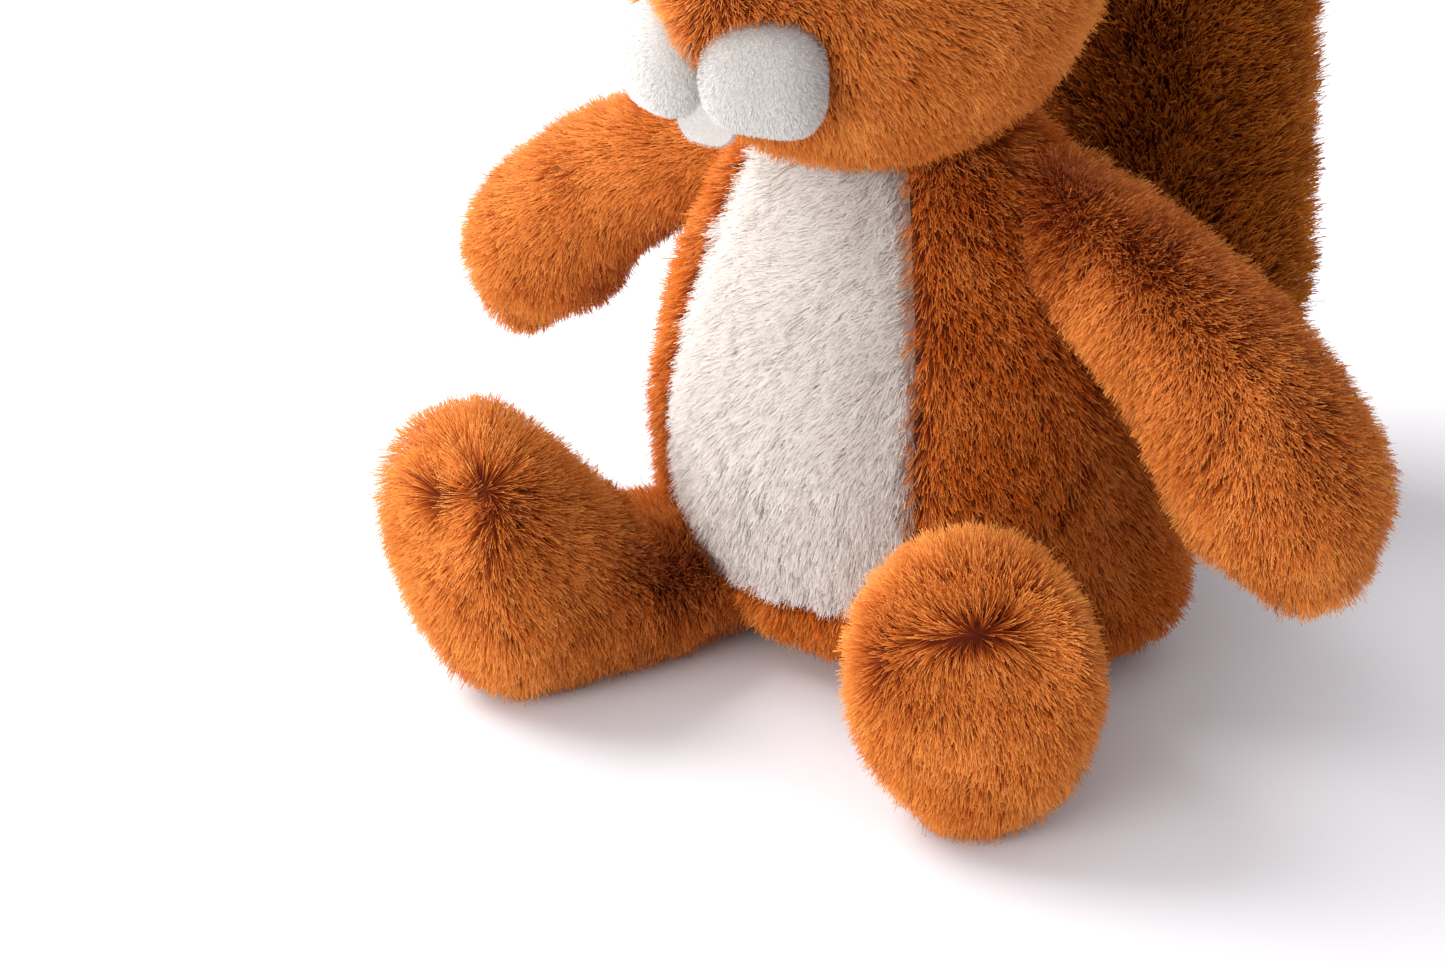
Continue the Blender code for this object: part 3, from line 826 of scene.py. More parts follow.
        places = np.vstack([self.painted_root_shade(surface), places[(blades - base).ravel()]])
        mesh.uv_layers.new(name=UV_MAP).data.foreach_set("uv", places.ravel())
        mesh.normals_split_custom_set_from_vertices(np.vstack([surface.normals(), shades]).tolist())
        mesh.materials.append(finish)
        discard(skin)
        piece = bpy.data.objects.new(self.name, mesh)
        bpy.context.scene.collection.objects.link(piece)
        LOG.info("%s: %d strands, %d triangles", self.name, len(points) // 3, len(triangles))
        return piece

    def painted_root_shade(self, surface: Surface) -> Array:
        """Map places of the skin's corners: painted shade under the pile, in the dark of the roots, a
        little patchy.
        """
        middles = surface.points[surface.triangles].mean(axis=1)
        tone = 0.25 + 0.10 * ripple(middles, 0.012, self.seed + 3)
        corners = np.array([[0.0, 0.02], [0.006, 0.02], [0.003, 0.07]])
        places = corners[None] + np.stack([tone, np.zeros(len(tone))], 1)[:, None, :]
        return places.reshape(-1, 2)


# The toy's parts

SKIN_DEPTH = 0.0056
FAR = 0.05


@dataclass
class Body:
    """Pear-shaped body on its flat seat, with the cream panel let into its front."""

    height: float = 0.153
    half_width: float = 0.071
    front: float = 0.0725
    back: float = 0.064
    seat: tuple[float, float, float] = (0.044, 0.042, 0.040)
    seat_skin: float = 0.0035
    haunch_rise: float = 0.011
    haunch_height: float = 0.009
    haunch_radius: float = 0.027
    panel_bottom: float = 0.026
    panel_corner: float = 0.030
    panel_angle: float = 34.3
    panel_foot: float = 0.4
    panel_shift: float = 0.0035
    panel_back: float = 0.25
    seam_depth: float = 0.0022
    seam_reach: float = 0.0045
    shape: tuple[tuple[float, ...], ...] = (
        (0.065, 0.86, 0.83, 0.875), (0.21, 0.99, 0.965, 0.99), (0.39, 1.00, 1.00, 0.96),
        (0.59, 0.92, 0.925, 0.80), (0.77, 0.735, 0.79, 0.52), (0.89, 0.55, 0.66, 0.25),
        (0.96, 0.42, 0.58, 0.10), (1.00, 0.28, 0.53, -0.02))

    def rows(self, count: int) -> Array:
        """Rows of height, half width, front y and back y from the seat up."""
        wide, front, back = self.seat
        rows = [(0.0, wide, -front, back)]
        rows += [(high * self.height, w * self.half_width, -f * self.front, b * self.back)
                 for high, w, f, b in self.shape]
        return smooth_rows(rows, count)

    def rings(self, count: int = 44, sides: int = 72) -> Array:
        """Outline of the body, haunches swelling out at the sides."""
        rings = upright_rings(self.rows(count), sides)
        spread = ((rings[:, :, 1] / self.haunch_radius) ** 2
                  + ((rings[:, :, 2] - self.haunch_height) / self.haunch_radius) ** 2)
        rings[:, :, 0] += np.sign(rings[:, :, 0]) * self.haunch_rise * np.exp(-spread)
        return rings

    def panel_edge(self, heights: Array) -> Array:
        """Half width of the cream panel on the skin at some heights, below zero under the panel."""
        rows = self.rows(90)
        wide = np.interp(heights, rows[:, 0], rows[:, 1]) - SKIN_DEPTH
        wide *= math.sin(math.radians(self.panel_angle))
        lift = np.clip(1 - (heights - self.panel_bottom) / self.panel_corner, 0, 1)
        rounded = wide * (self.panel_foot + (1 - self.panel_foot) * np.sqrt(1 - lift ** 2))
        return np.where(heights < self.panel_bottom, -0.02, rounded)

    def from_seam(self, points: Array) -> Array:
        """Distance from the panel's seam: below zero on the panel, far on the back."""
        sideways = np.abs(points[:, 0] + self.panel_shift) - self.panel_edge(points[:, 2])
        below = self.panel_bottom - points[:, 2]
        on_front = points[:, 1] < -self.front * self.panel_back
        return np.where(on_front, np.maximum(sideways, below), FAR)

    def skin(self) -> bpy.types.Object:
        """Skin of the whole body, drawn in along the panel's seam."""
        rings = self.rings()
        normals = ring_normals(rings)
        normals[0, :, 2] = 0.0
        crease = np.exp(-(self.from_seam(rings.reshape(-1, 3)) / self.seam_reach) ** 2)
        depth = SKIN_DEPTH + self.seam_depth * crease.reshape(rings.shape[:2])
        rings = rings - normals * depth[:, :, None]
        # The lowest rings keep a hair's breadth apart, so that they don't merge
        lowest = self.seat_skin + 0.00005 * np.arange(len(rings))[:, None]
        rings[:, :, 2] = np.maximum(rings[:, :, 2], lowest)
        return loft("body_skin", rings)

    def panel_wedge(self) -> bpy.types.Object:
        """Upright wedge that marks the panel out of the body."""
        top = self.height + 0.01
        heights = self.panel_bottom + (top - self.panel_bottom) * np.linspace(0, 1, 40) ** 1.3
        edge = self.panel_edge(heights)
        outline = [(x - self.panel_shift, z) for x, z in zip(edge, heights)]
        outline += [(-x - self.panel_shift, z) for x, z in zip(edge[::-1], heights[::-1])]
        points = np.array([(x, y, z) for y in (-self.front * 2, -self.front * self.panel_back)
                           for x, z in outline])
        count = len(outline)
        faces: list[tuple[int, ...]] = [(i, (i + 1) % count, count + (i + 1) % count, count + i)
                                        for i in range(count)]
        faces += [tuple(range(count)), tuple(range(count, 2 * count))]
        return link_mesh("panel_wedge", points, faces)


@dataclass
class Head:
    """Round head with a snout that swells forward between the muzzle puffs."""

    base: float = 0.134
    height: float = 0.1005
    half_width: float = 0.0555
    front: float = 0.084
    back: float = 0.024
    neck: float = 0.020
    snout_rise: float = 0.021
    snout_radius: float = 0.031
    snout_height: float = 0.173
    shape: tuple[tuple[float, ...], ...] = (
        (0.00, 0.35, 0.55, -0.17), (0.08, 0.59, 0.73, 0.06), (0.20, 0.81, 0.877, 0.57),
        (0.34, 0.955, 0.970, 0.90), (0.49, 1.00, 1.00, 1.00), (0.66, 0.942, 0.962, 0.867),
        (0.81, 0.78, 0.857, 0.50), (0.92, 0.54, 0.702, 0.00), (0.98, 0.25, 0.51, -0.60))

    def rows(self, count: int) -> Array:
        """Rows of height, half width, front y and back y from the neck up."""
        rows = [(self.base + high * self.height, self.neck if high == 0 else wide * self.half_width,
                 -front * self.front, back * self.back) for high, wide, front, back in self.shape]
        return smooth_rows(rows, count)

    def rings(self, count: int = 44, sides: int = 72) -> Array:
        """Outline of the head."""
        rings = upright_rings(self.rows(count), sides)
        spread = ((rings[:, :, 0] / self.snout_radius) ** 2
                  + ((rings[:, :, 2] - self.snout_height) / self.snout_radius) ** 2)
        ahead = rings[:, :, 1] < rings[:, :, 1].mean(axis=1)[:, None]
        rings[:, :, 1] -= np.where(ahead, self.snout_rise * np.exp(-spread), 0)
        return rings

    def face_point(self, side: float, height: float) -> tuple[Array, Array]:
        """Point and outward normal of the head's front.

        Args:
            side: X there.
            height: Z there.

        Returns:
            The point and the normal.
        """
        rows = self.rows(200)

        def point(x: float, z: float) -> Array:
            """Point of the front at one X and Z."""
            wide, front, back = (np.interp(z, rows[:, 0], rows[:, k]) for k in (1, 2, 3))
            depth = (back - front) / 2 * math.sqrt(max(0.0, 1 - (x / wide) ** 2))
            spread = (x / self.snout_radius) ** 2 + ((z - self.snout_height) / self.snout_radius) ** 2
            return np.array([x, (back + front) / 2 - depth - self.snout_rise * math.exp(-spread), z])

        step = 0.002
        across = point(side + step, height) - point(side - step, height)
        upward = point(side, height + step) - point(side, height - step)
        return point(side, height), unit(np.cross(across, upward))


@dataclass
class Arm:
    """Stuffed arm that hangs out and down from the shoulder."""

    side: Side
    swing: float
    lift: float = 0.0
    radius: float = 0.0235
    shoulder: tuple[float, float, float] = (0.038, 0.010, 0.1215)
    reach: float = 0.086
    drop: float = 0.070
    shape: tuple[tuple[float, ...], ...] = (
        (0.00, 0.00, 0.00, 0.64, 0.66), (0.33, 0.13, 0.62, 0.82, 0.82), (0.67, 0.36, 1.00, 0.95, 0.95),
        (0.93, 0.72, 1.12, 1.03, 1.06), (1.02, 0.97, 1.00, 0.58, 0.58))

    def rings(self, count: int = 30, sides: int = 40) -> Array:
        """Outline from inside the shoulder to the paw."""
        turn = math.radians(self.lift)
        aside, ahead, high = self.shoulder
        rows = []
        for reach, drop, forward, first, second in self.shape:
            out = reach * self.reach * math.cos(turn) + drop * self.drop * math.sin(turn)
            down = drop * self.drop * math.cos(turn) - reach * self.reach * math.sin(turn)
            rows.append((self.side.value * (aside + out), -ahead - forward * self.swing, high - down,
                         first * self.radius, second * self.radius))
        return limb_rings(smooth_rows(rows, count), np.array([0.0, -1.0, 0.0]), sides)

    def comb(self) -> Comb:
        """Pile that runs down to the paw."""
        return Comb(along_and_down(self.rings().mean(axis=1), 0.9))


@dataclass
class Leg:
    """Leg that lies on the floor and turns up into a tall foot."""

    side: Side
    turn: float
    lean: float = 0.0
    length: float = 0.0955
    furrow: float = 0.0
    partings: tuple[tuple[Place, Place, float, float, float, float], ...] = ()
    hip: tuple[float, float] = (0.036, 0.030)
    height: float = 0.041
    half_width: float = 0.025
    foot_height: float = 0.072
    foot_half_width: float = 0.028
    shape: tuple[tuple[float, ...], ...] = (
        (0.00, 0.05, 0.04, 0.84, 0.96), (0.25, 0.02, 0.28, 0.88, 1.00), (0.47, 0.00, 0.42, 1.00, 1.06))
    foot: tuple[tuple[float, ...], ...] = (
        (0.67, 0.00, 0.56, 0.78, 0.97), (0.84, 0.00, 0.68, 0.96, 1.00), (0.98, 0.18, 0.79, 1.01, 1.02),
        (1.02, 0.48, 0.90, 0.95, 0.86), (1.00, 0.68, 0.95, 0.83, 0.41))

    def axes(self) -> tuple[Array, Array, Array]:
        """Hip place, direction ahead and direction across."""
        angle = math.radians(self.turn)
        sign = self.side.value
        return (np.array([sign * self.hip[0], -self.hip[1], 0.0]),
                np.array([sign * math.sin(angle), -math.cos(angle), 0.0]),
                np.array([math.cos(angle), sign * math.sin(angle), 0.0]))

    def rings(self, count: int = 40, sides: int = 44) -> Array:
        """Outline from inside the hip to the top of the foot."""
        hip, ahead, across = self.axes()
        up = np.array([0.0, 0.0, 1.0])
        rows = [(a * self.length, b * self.height, c * self.length, d * self.height, e * self.half_width)
                for a, b, c, d, e in self.shape]
        rows += [(a * self.length, b * self.foot_height, c * self.length, d * self.foot_height,
                  e * self.foot_half_width) for a, b, c, d, e in self.foot]
        rings = []
        for low_out, low_up, high_out, high_up, wide in smooth_rows(rows, count):
            low = hip + ahead * low_out + up * max(low_up, 0.0)
            high = hip + ahead * high_out + up * high_up
            rings.append(ellipse((low + high) / 2, across * wide, (high - low) / 2, sides))
        stack = np.array(rings)
        lean = math.tan(math.radians(self.lean))
        stack[:, :, 0] += self.side.value * lean * (stack[:, :, 2] - self.foot_height / 2)
        return stack

    def spot(self, along: float, across: float, high: float) -> Place:
        """Place given along the leg, across it to the toy's left, and up."""
        hip, ahead, sideways = self.axes()
        x, y, _ = hip + ahead * along + sideways * across
        return float(x), float(y), high

    def comb(self) -> Comb:
        """Pile that lies along the leg and falls from a whorl high on the sole."""
        hip, ahead, _ = self.axes()

        def run(points: Array) -> Array:
            """Directions at some places: ahead along the leg, down on the foot."""
            share = np.clip(((points - hip) @ ahead - 0.045) / 0.035, 0, 1)[:, None]
            return ahead * (0.8 * (1 - share)) + np.array([0.0, 0.0, -1.0]) * (0.45 + 0.55 * share)

        partings = [Parting(self.spot(*start), self.spot(*end), *cut) for start, end, *cut in self.partings]
        return Comb(run, partings)


@dataclass
class Tail:
    """Big tail that stands up behind the back and curls over at its tip."""

    height: float = 0.230
    back: float = 0.104
    half_width: float = 0.041
    half_depth: float = 0.033
    curl: float = 0.052
    shape: tuple[tuple[float, ...], ...] = (
        (0.46, 0.100, 0.44, 0.48), (0.80, 0.120, 0.80, 0.80), (1.00, 0.250, 1.12, 0.97),
        (1.02, 0.485, 1.06, 1.00), (1.00, 0.690, 1.04, 1.00))
    tip: tuple[tuple[float, ...], ...] = (
        (0.20, 0.855, 0.97, 0.97), (0.62, 0.965, 0.82, 0.84), (1.00, 0.985, 0.50, 0.50))

    def rings(self, count: int = 40, sides: int = 44) -> Array:
        """Outline from the root on the body to the tip."""
        rows = [(0.0, back * self.back, up * self.height, wide * self.half_width, deep * self.half_depth)
                for back, up, wide, deep in self.shape]
        rows += [(0.0, self.back + curl * self.curl, up * self.height, wide * self.half_width,
                  deep * self.half_depth) for curl, up, wide, deep in self.tip]
        return limb_rings(smooth_rows(rows, count), np.array([1.0, 0.0, 0.0]), sides)

    def comb(self) -> Comb:
        """Long pile that runs up the tail and out to its sides."""
        along = along_and_down(self.rings().mean(axis=1), 0.0)

        def run(points: Array) -> Array:
            """Directions at some places: along the tail and out to its sides."""
            aside = points * np.array([9.0, 0.0, 0.0])
            return along(points) * 0.6 + aside

        return Comb(run)


def along_and_down(middle: Array, fall: float) -> Callable[[Array], Array]:
    """Way of the pile on a limb.

    Args:
        middle: points of the limb's middle line.
        fall: how strongly the pile also hangs down.

    Returns:
        Function from places to directions.
    """
    heading = unit(np.gradient(middle, axis=0))

    def run(points: Array) -> Array:
        """Directions at some places: along the nearest stretch, and down."""
        nearest = np.linalg.norm(points[:, None, :] - middle[None], axis=2).argmin(axis=1)
        return heading[nearest] + np.array([0.0, 0.0, -fall])

    return run


def press(rings: Array, partings: list[Parting], depth: float) -> Array:
    """Press shallow furrows into rings along the pile's partings.

    Args:
        rings: outline.
        partings: lines to press along.
        depth: how deep, where a parting's own depth is 1.

    Returns:
        The pressed rings.
    """
    points = rings.reshape(-1, 3)
    sunk = np.zeros(len(points))
    for parting in partings:
        distance = np.linalg.norm(parting.away(points), axis=1)
        hollow = np.exp(-(distance / (parting.roots * 0.8)) ** 2)
        sunk = np.maximum(sunk, depth * parting.depth * hollow)
    return rings - ring_normals(rings) * sunk.reshape(rings.shape[:2])[:, :, None]


def skin_of(name: str, rings: Array, roundness: float) -> bpy.types.Object:
    """Closed skin under a pile.

    Args:
        name: name of the new object.
        rings: outline, without its rounded end.
        roundness: how far the end stands out, as a share of the last ring's radius.

    Returns:
        The skin.
    """
    return loft(name, rounded_end(rings - ring_normals(rings) * SKIN_DEPTH, roundness))


def ball_rings(center: Array, half: Array, tilt: float, count: int = 18, sides: int = 32) -> Array:
    """Lay the rings of an ellipsoid, from its lowest to its highest.

    Args:
        center: its middle.
        half: its half sizes along X, Y and Z.
        tilt: degrees that it is turned about Y.
        count: how many rings.
        sides: points in a ring.

    Returns:
        Array of rings.
    """
    rings = []
    for polar in np.linspace(-math.pi / 2, math.pi / 2, count + 2)[1:-1]:
        wide = math.cos(polar)
        rings.append(ellipse(np.array([0, 0, math.sin(polar)]), np.array([wide, 0, 0]),
                             np.array([0, wide, 0]), sides))
    cosine, sine = math.cos(math.radians(tilt)), math.sin(math.radians(tilt))
    turn = np.array([[cosine, 0, sine], [0, 1, 0], [-sine, 0, cosine]])
    return np.array(rings) * half @ turn.T + center


@dataclass
class Muzzle:
    """Two short-piled puffs side by side on the snout, and the felt tooth between them."""

    center: Place = (0.0126, -0.0903, 0.1670)
    half: Place = (0.0136, 0.0103, 0.0127)
    turn: float = 30.0
    squareness: float = 2.5
    lower_corner: float = 0.15
    upper_corner: float = 0.02
    parted: float = 0.0003
    tooth_size: tuple[float, float, float] = (0.017, 0.0018, 0.016)
    tooth_place: Place = (0.0, -0.0948, 0.1576)
    tooth_corner: float = 0.006
    tooth_edge: float = 0.0004
    tooth_bow: float = 6.0

    def puff(self, side: Side) -> bpy.types.Object:
        """Make the skin of one puff: a rounded square turned outwards and flat towards its twin.

        Args:
            side: which of the two.

        Returns:
            The skin.
        """
        count = 40
        turns = 2 * np.pi * np.arange(count) / count
        across, upward = np.cos(turns), np.sin(turns)
        power = self.squareness
        square = (np.abs(across) ** power + np.abs(upward) ** power) ** (-1 / power)
        for angle, share in ((-50, self.lower_corner), (48, self.upper_corner)):
            away = np.angle(np.exp(1j * (turns - math.radians(angle))))
            square *= 1 + share * np.exp(-(away / 0.45) ** 2)
        cosine, sine = math.cos(math.radians(self.turn)), math.sin(math.radians(self.turn))
        rings = []
        for polar in np.linspace(-math.pi / 2, math.pi / 2, 18)[1:-1]:
            # Powers below one keep the face flat and the rim full
            wide = square * math.cos(polar) ** 0.75
            bulge = math.copysign(abs(math.sin(polar)) ** 0.85, polar)
            aside, out = across * wide * self.half[0], bulge * self.half[1]
            x = np.maximum(self.center[0] + aside * cosine + out * sine, self.parted)
            y = self.center[1] + aside * sine - out * cosine
            z = self.center[2] + upward * wide * self.half[2]
            rings.append(np.stack([side.value * x, y, z], axis=1))
        return loft(f"puff_{side.word}_skin", np.array(rings))

    def tooth(self) -> bpy.types.Object:
        """Felt tab with two rounded lower corners, slightly bowed."""
        deselect()
        bpy.ops.mesh.primitive_cube_add(size=1.0, location=self.tooth_place)
        tab = bpy.context.object
        tab.scale = self.tooth_size
        bpy.ops.object.transform_apply(location=True, rotation=True, scale=True)
        bpy.ops.object.mode_set(mode="EDIT")
        middle = self.tooth_place[2]
        bevel_where(tab, lambda a, b: abs(a.y - b.y) > TINY and a.z < middle, self.tooth_corner, 8)
        bevel_where(tab, lambda a, b: abs(a.y - b.y) < TINY, self.tooth_edge, 2)
        bpy.ops.object.mode_set(mode="OBJECT")
        tab = in_order(tab)
        surface = surface_of(tab)
        discard(tab)
        corners = surface.points[surface.triangles]
        # Twice split in four, so that the felt can bow
        for _ in range(2):
            middles = (corners + np.roll(corners, -1, axis=1)) / 2
            ends = [np.stack([corners[:, k], middles[:, k], middles[:, k - 1]], axis=1) for k in range(3)]
            corners = np.concatenate([middles, *ends])
        points = corners.reshape(-1, 3)
        points[:, 1] += self.tooth_bow * points[:, 0] ** 2
        return link_mesh("tooth_skin", points, np.arange(len(points)).reshape(-1, 3).tolist())


def in_order(item: bpy.types.Object) -> bpy.types.Object:
    """Renumber a mesh by place, because a bevel numbers its points anew each run.

    Args:
        item: object with the mesh; it is removed.

    Returns:
        The same shape as a new object.
    """
    mesh = item.data
    order = sorted(range(len(mesh.vertices)), key=lambda i: tuple(round(c, 7) for c in mesh.vertices[i].co))
    rank = {old: new for new, old in enumerate(order)}
    faces = []
    for polygon in mesh.polygons:
        ring = [rank[index] for index in polygon.vertices]
        start = ring.index(min(ring))
        faces.append(tuple(ring[start:] + ring[:start]))
    points = np.array([mesh.vertices[index].co for index in order])
    discard(item)
    return link_mesh("ordered", points, sorted(faces))


def bevel_where(item: bpy.types.Object, test: Callable[[Vector, Vector], bool], offset: float,
                segments: int) -> None:
    """Round some edges of an object that is in edit mode.

    Args:
        item: the object.
        test: says from an edge's two ends whether it is rounded.
        offset: how far the rounding reaches.
        segments: faces across it.
    """
    bpy.ops.mesh.select_all(action="DESELECT")
    shape = bmesh.from_edit_mesh(item.data)
    for edge in shape.edges:
        edge.select = test(*(v.co for v in edge.verts))
    bmesh.update_edit_mesh(item.data)
    bpy.ops.mesh.bevel(offset=offset, segments=segments, affect="EDGES")


@dataclass
class Ear:
    """Upright oval ear with a cream lining let into its front."""

    side: Side
    place: Place = (0.034, -0.024, 0.2385)
    half: Place = (0.018, 0.0075, 0.023)
    lean: float = 16.0
    margin: float = 0.0055
    depth: float = 0.0022

    def center(self) -> Array:
        """Middle of the ear on its own side."""
        return np.array(self.place) * np.array([self.side.value, 1, 1])

    def skins(self, head_skin: bpy.types.Object) -> tuple[bpy.types.Object, bpy.types.Object, Solid]:
        """Make the ear's and the lining's skins.

        Args:
            head_skin: skin that both are cut back to.

        Returns:
            The ear, the lining, and the solid that the lining lies in.
        """
        half = np.array(self.half)
        tilt = self.side.value * self.lean
        front = self.center() - np.array([0.0, self.half[1], 0.0])
        inset = half - np.array([self.margin, 0.0, self.margin])
        ear = loft(f"ear_{self.side.word}_skin", ball_rings(self.center(), half - self.depth, tilt))
        lining = copied(ear)
        shape = loft("lining_shape", ball_rings(front, inset, tilt))
        combine(lining, shape, "INTERSECT")
        combine(ear, shape, "DIFFERENCE")
        for item in (ear, lining):
            combine(item, head_skin, "DIFFERENCE")
        area = Solid.of(shape)
        discard(shape)
        return ear, lining, area

    def comb(self) -> Comb:
        """Pile that runs from the ear's foot to its rim."""
        foot = self.center() - np.array([0, 0, self.half[2]])
        return Comb(lambda points: points - foot)


@dataclass
class Button:
    """Moulded safety eye or nose: a dome with a fine rim on a stem that a washer locks."""

    name: str
    aside: float
    height: float
    radius: float
    rise: float
    stem: float = 0.0018
    stem_length: float = 0.012
    rim_depth: float = 0.10
    rim_width: float = 0.06
    sunk: float = 0.4

    def build(self, head: Head) -> bpy.types.Object:
        """Make the piece and set it on the face.

        Args:
            head: the head that carries it.

        Returns:
            The button, still without its plastic.
        """
        place, normal = head.face_point(self.aside, self.height)
        across = unit(np.cross(np.array([0.0, 0.0, 1.0]), normal))
        upward = np.cross(normal, across)
        stem, base = self.stem / self.radius, -self.rim_depth
        outline = [(stem, base - self.stem_length / self.rise), (stem, base),
                   (1 - self.rim_width, base), (1.0, base)]
        outline += [(math.cos(lift), math.sin(lift)) for lift in np.linspace(0, math.pi / 2, 13)]
        seat = place - normal * self.rise * self.sunk
        rings = []
        for wide, high in outline:
            center = seat + normal * (self.rise * (1 + self.sunk) * high)
            rings.append(ellipse(center, across * self.radius * wide, upward * self.radius * wide, 40))
        dome = loft(self.name, np.array(rings))
        activate(dome)
        bpy.ops.object.shade_smooth_by_angle(angle=math.radians(40))
        return dome


# Studio


@dataclass(frozen=True)
class Studio:
    """Pale floor, a large soft key lamp, a low front lamp, an even surround and the camera."""

    azimuth: float = 38.0
    elevation: float = 24.0
    distance: float = 0.8
    metres_per_pixel: float = 0.00027
    anchor_pixel: tuple[float, float] = (925.0, 592.0)
    picture: tuple[int, int] = (1445, 963)
    sensor: float = 36.0

    def aim_camera(self) -> None:
        """Place the camera so that the origin falls on its own place in the picture."""
        az, el = math.radians(self.azimuth), math.radians(self.elevation)
        back = Vector((math.sin(az) * math.cos(el), -math.cos(az) * math.cos(el), math.sin(el)))
        right = Vector((math.cos(az), math.sin(az), 0.0))
        up = back.cross(right)
        wide, high = self.picture
        aside = (wide / 2 - self.anchor_pixel[0]) * self.metres_per_pixel
        rise = (self.anchor_pixel[1] - high / 2) * self.metres_per_pixel
        data = bpy.data.cameras.new("camera")
        data.sensor_width = self.sensor
        data.lens = self.sensor * self.distance / (self.metres_per_pixel * wide)
        data.clip_start = 0.01
        camera = bpy.data.objects.new("camera", data)
        turn = Matrix((right, up, back)).transposed().to_4x4()
        camera.matrix_world = Matrix.Translation(right * aside + up * rise + back * self.distance) @ turn
        bpy.context.scene.collection.objects.link(camera)
        bpy.context.scene.camera = camera

    def lay_floor(self) -> None:
        """Smooth painted board under the toy."""
        deselect()
        bpy.ops.mesh.primitive_plane_add(size=12.0, location=(0, 0, 0))
        floor = bpy.context.object
        floor.name = "floor"
        material = new_material("painted_floor")
        place = add_node(material, "ShaderNodeTexCoord")
        # Clouds of about a third of a metre, too faint to see as a pattern
        mottle = add_node(material, "ShaderNodeTexNoise", {"Scale": 3.0, "Detail": 3.0},
                          Vector=place.outputs["Object"])
        shade = add_node(material, "ShaderNodeValToRGB", Fac=mottle.outputs["Fac"])
        set_ramp(shade, ((0.0, "E9E8EA"), (1.0, "EDECEE")))
        paint = add_node(material, "ShaderNodeBsdfPrincipled",
                         {"Roughness": 0.55, "Specular IOR Level": 0.3}, Base_Color=shade.outputs["Color"])
        add_node(material, "ShaderNodeOutputMaterial", Surface=paint.outputs[0])
        floor.data.materials.append(material)

    @staticmethod
    def lamp(name: str, place: Place, size: float, watts: float, aim: Place) -> None:
        """Hang a soft square lamp.

        Args:
            name: its name.
            place: its middle.
            size: its side.
            watts: its power.
            aim: place that it points at.
        """
        data = bpy.data.lights.new(name, "AREA")
        data.size = size
        data.energy = watts
        item = bpy.data.objects.new(name, data)
        item.location = place
        item.rotation_euler = (Vector(aim) - Vector(place)).to_track_quat("-Z", "Y").to_euler()
        bpy.context.scene.collection.objects.link(item)

    def light(self) -> None:
        """Key lamp from the viewer's left, a low front lamp, and an even surround that is seen as white."""
        self.lamp("key_lamp", (-1.10, -0.30, 1.00), 1.10, 29.5, (0.0, 0.0, 0.08))
        self.lamp("front_lamp", (-0.10, -1.45, 0.40), 0.90, 18.0, (0.0, 0.0, 0.05))
        world = bpy.data.worlds.new("surround")
        world.use_nodes = True
        world.node_tree.nodes.clear()
        path = add_node(world, "ShaderNodeLightPath")
        seen = path.outputs["Is Camera Ray"]
        for ray in ("Is Glossy Ray", "Is Transmission Ray"):
            either = add_node(world, "ShaderNodeMath", {"operation": "MAXIMUM"},
                              n_0=seen, n_1=path.outputs[ray])
            seen = either.outputs[0]
        fill = add_node(world, "ShaderNodeBackground", {"Color": linear("F2F2F6"), "Strength": 0.84})
        shown = add_node(world, "ShaderNodeBackground", {"Color": linear("FFFFFF"), "Strength": 1.0})
        mixed = add_node(world, "ShaderNodeMixShader", n_0=seen, n_1=fill.outputs[0], n_2=shown.outputs[0])
        add_node(world, "ShaderNodeOutputWorld", Surface=mixed.outputs[0])
        bpy.context.scene.world = world
        bpy.context.scene.view_settings.view_transform = "Standard"


# Finishes of the toy

# Each ramp runs from root to tip; the dark roots are painted shade deep in the pile
ORANGE = PileFinish("orange_plush_pile", "orange_pile",
                    dull=((0.0, "420F02"), (0.45, "902F04"), (1.0, "D46812")),
                    bright=((0.0, "701F03"), (0.4, "DE6A16"), (1.0, "FFB45E")))
CREAM = PileFinish("cream_plush_pile", "cream_pile",
                   dull=((0.0, "A49384"), (0.45, "CFC3B8"), (1.0, "E0D8D1")),
                   bright=((0.0, "B8A899"), (0.4, "DAD0C8"), (1.0, "ECE7E2")))
BROWN = PileFinish("brown_tail_pile", "tail_pile", glow=0.45,
                   dull=((0.0, "200501"), (0.45, "6A2003"), (1.0, "AE520C")),
                   bright=((0.0, "440F01"), (0.4, "A84405"), (1.0, "F09C38")))
WHITE = PileFinish("white_short_plush", "white_plush",
                   dull=((0.0, "CCC6C0"), (0.45, "DEDAD6"), (1.0, "E8E6E4")),
                   bright=((0.0, "D6D2CD"), (0.4, "E4E1DE"), (1.0, "EEECEA")))

BLACK = PlasticFinish("black_moulded_plastic", "0B0A0A", (0.08, 0.16))
CLEAR = PlasticFinish("frosted_washer_plastic", "D9DAD8", (0.35, 0.5), 0.5)

# Cut of the pile, part by part

LIMB_PILE = Pile(6.2e6)
TAIL_PILE = Pile(2.7e6, length=0.0122, width=0.00028, lean=40, tone=0.64)
# The body's low tone is painted shade: its sides are darkened as if shaded by the head and arms
BODY_PILE = Pile(3.7e6, width=0.00021, tone=0.26)
BELLY_PILE = Pile(9.0e6, width=0.00014, lean=53, lean_spread=6, scatter=0.26, tone=0.62)
HEAD_PILE = Pile(5.2e6, tone=0.52)
PUFF_PILE = Pile(12e6, length=0.0013, width=0.00014, tuft=0.0010, lean=35, gather=0.08)
TOOTH_FUZZ = Pile(8e6, length=0.0008, width=0.00009, tuft=0.001, lean=50, gather=0.1, scatter=1.2)
EAR_PILE = Pile(4.5e6, length=0.0042)
LINING_PILE = Pile(5e6, length=0.0030, width=0.00019)


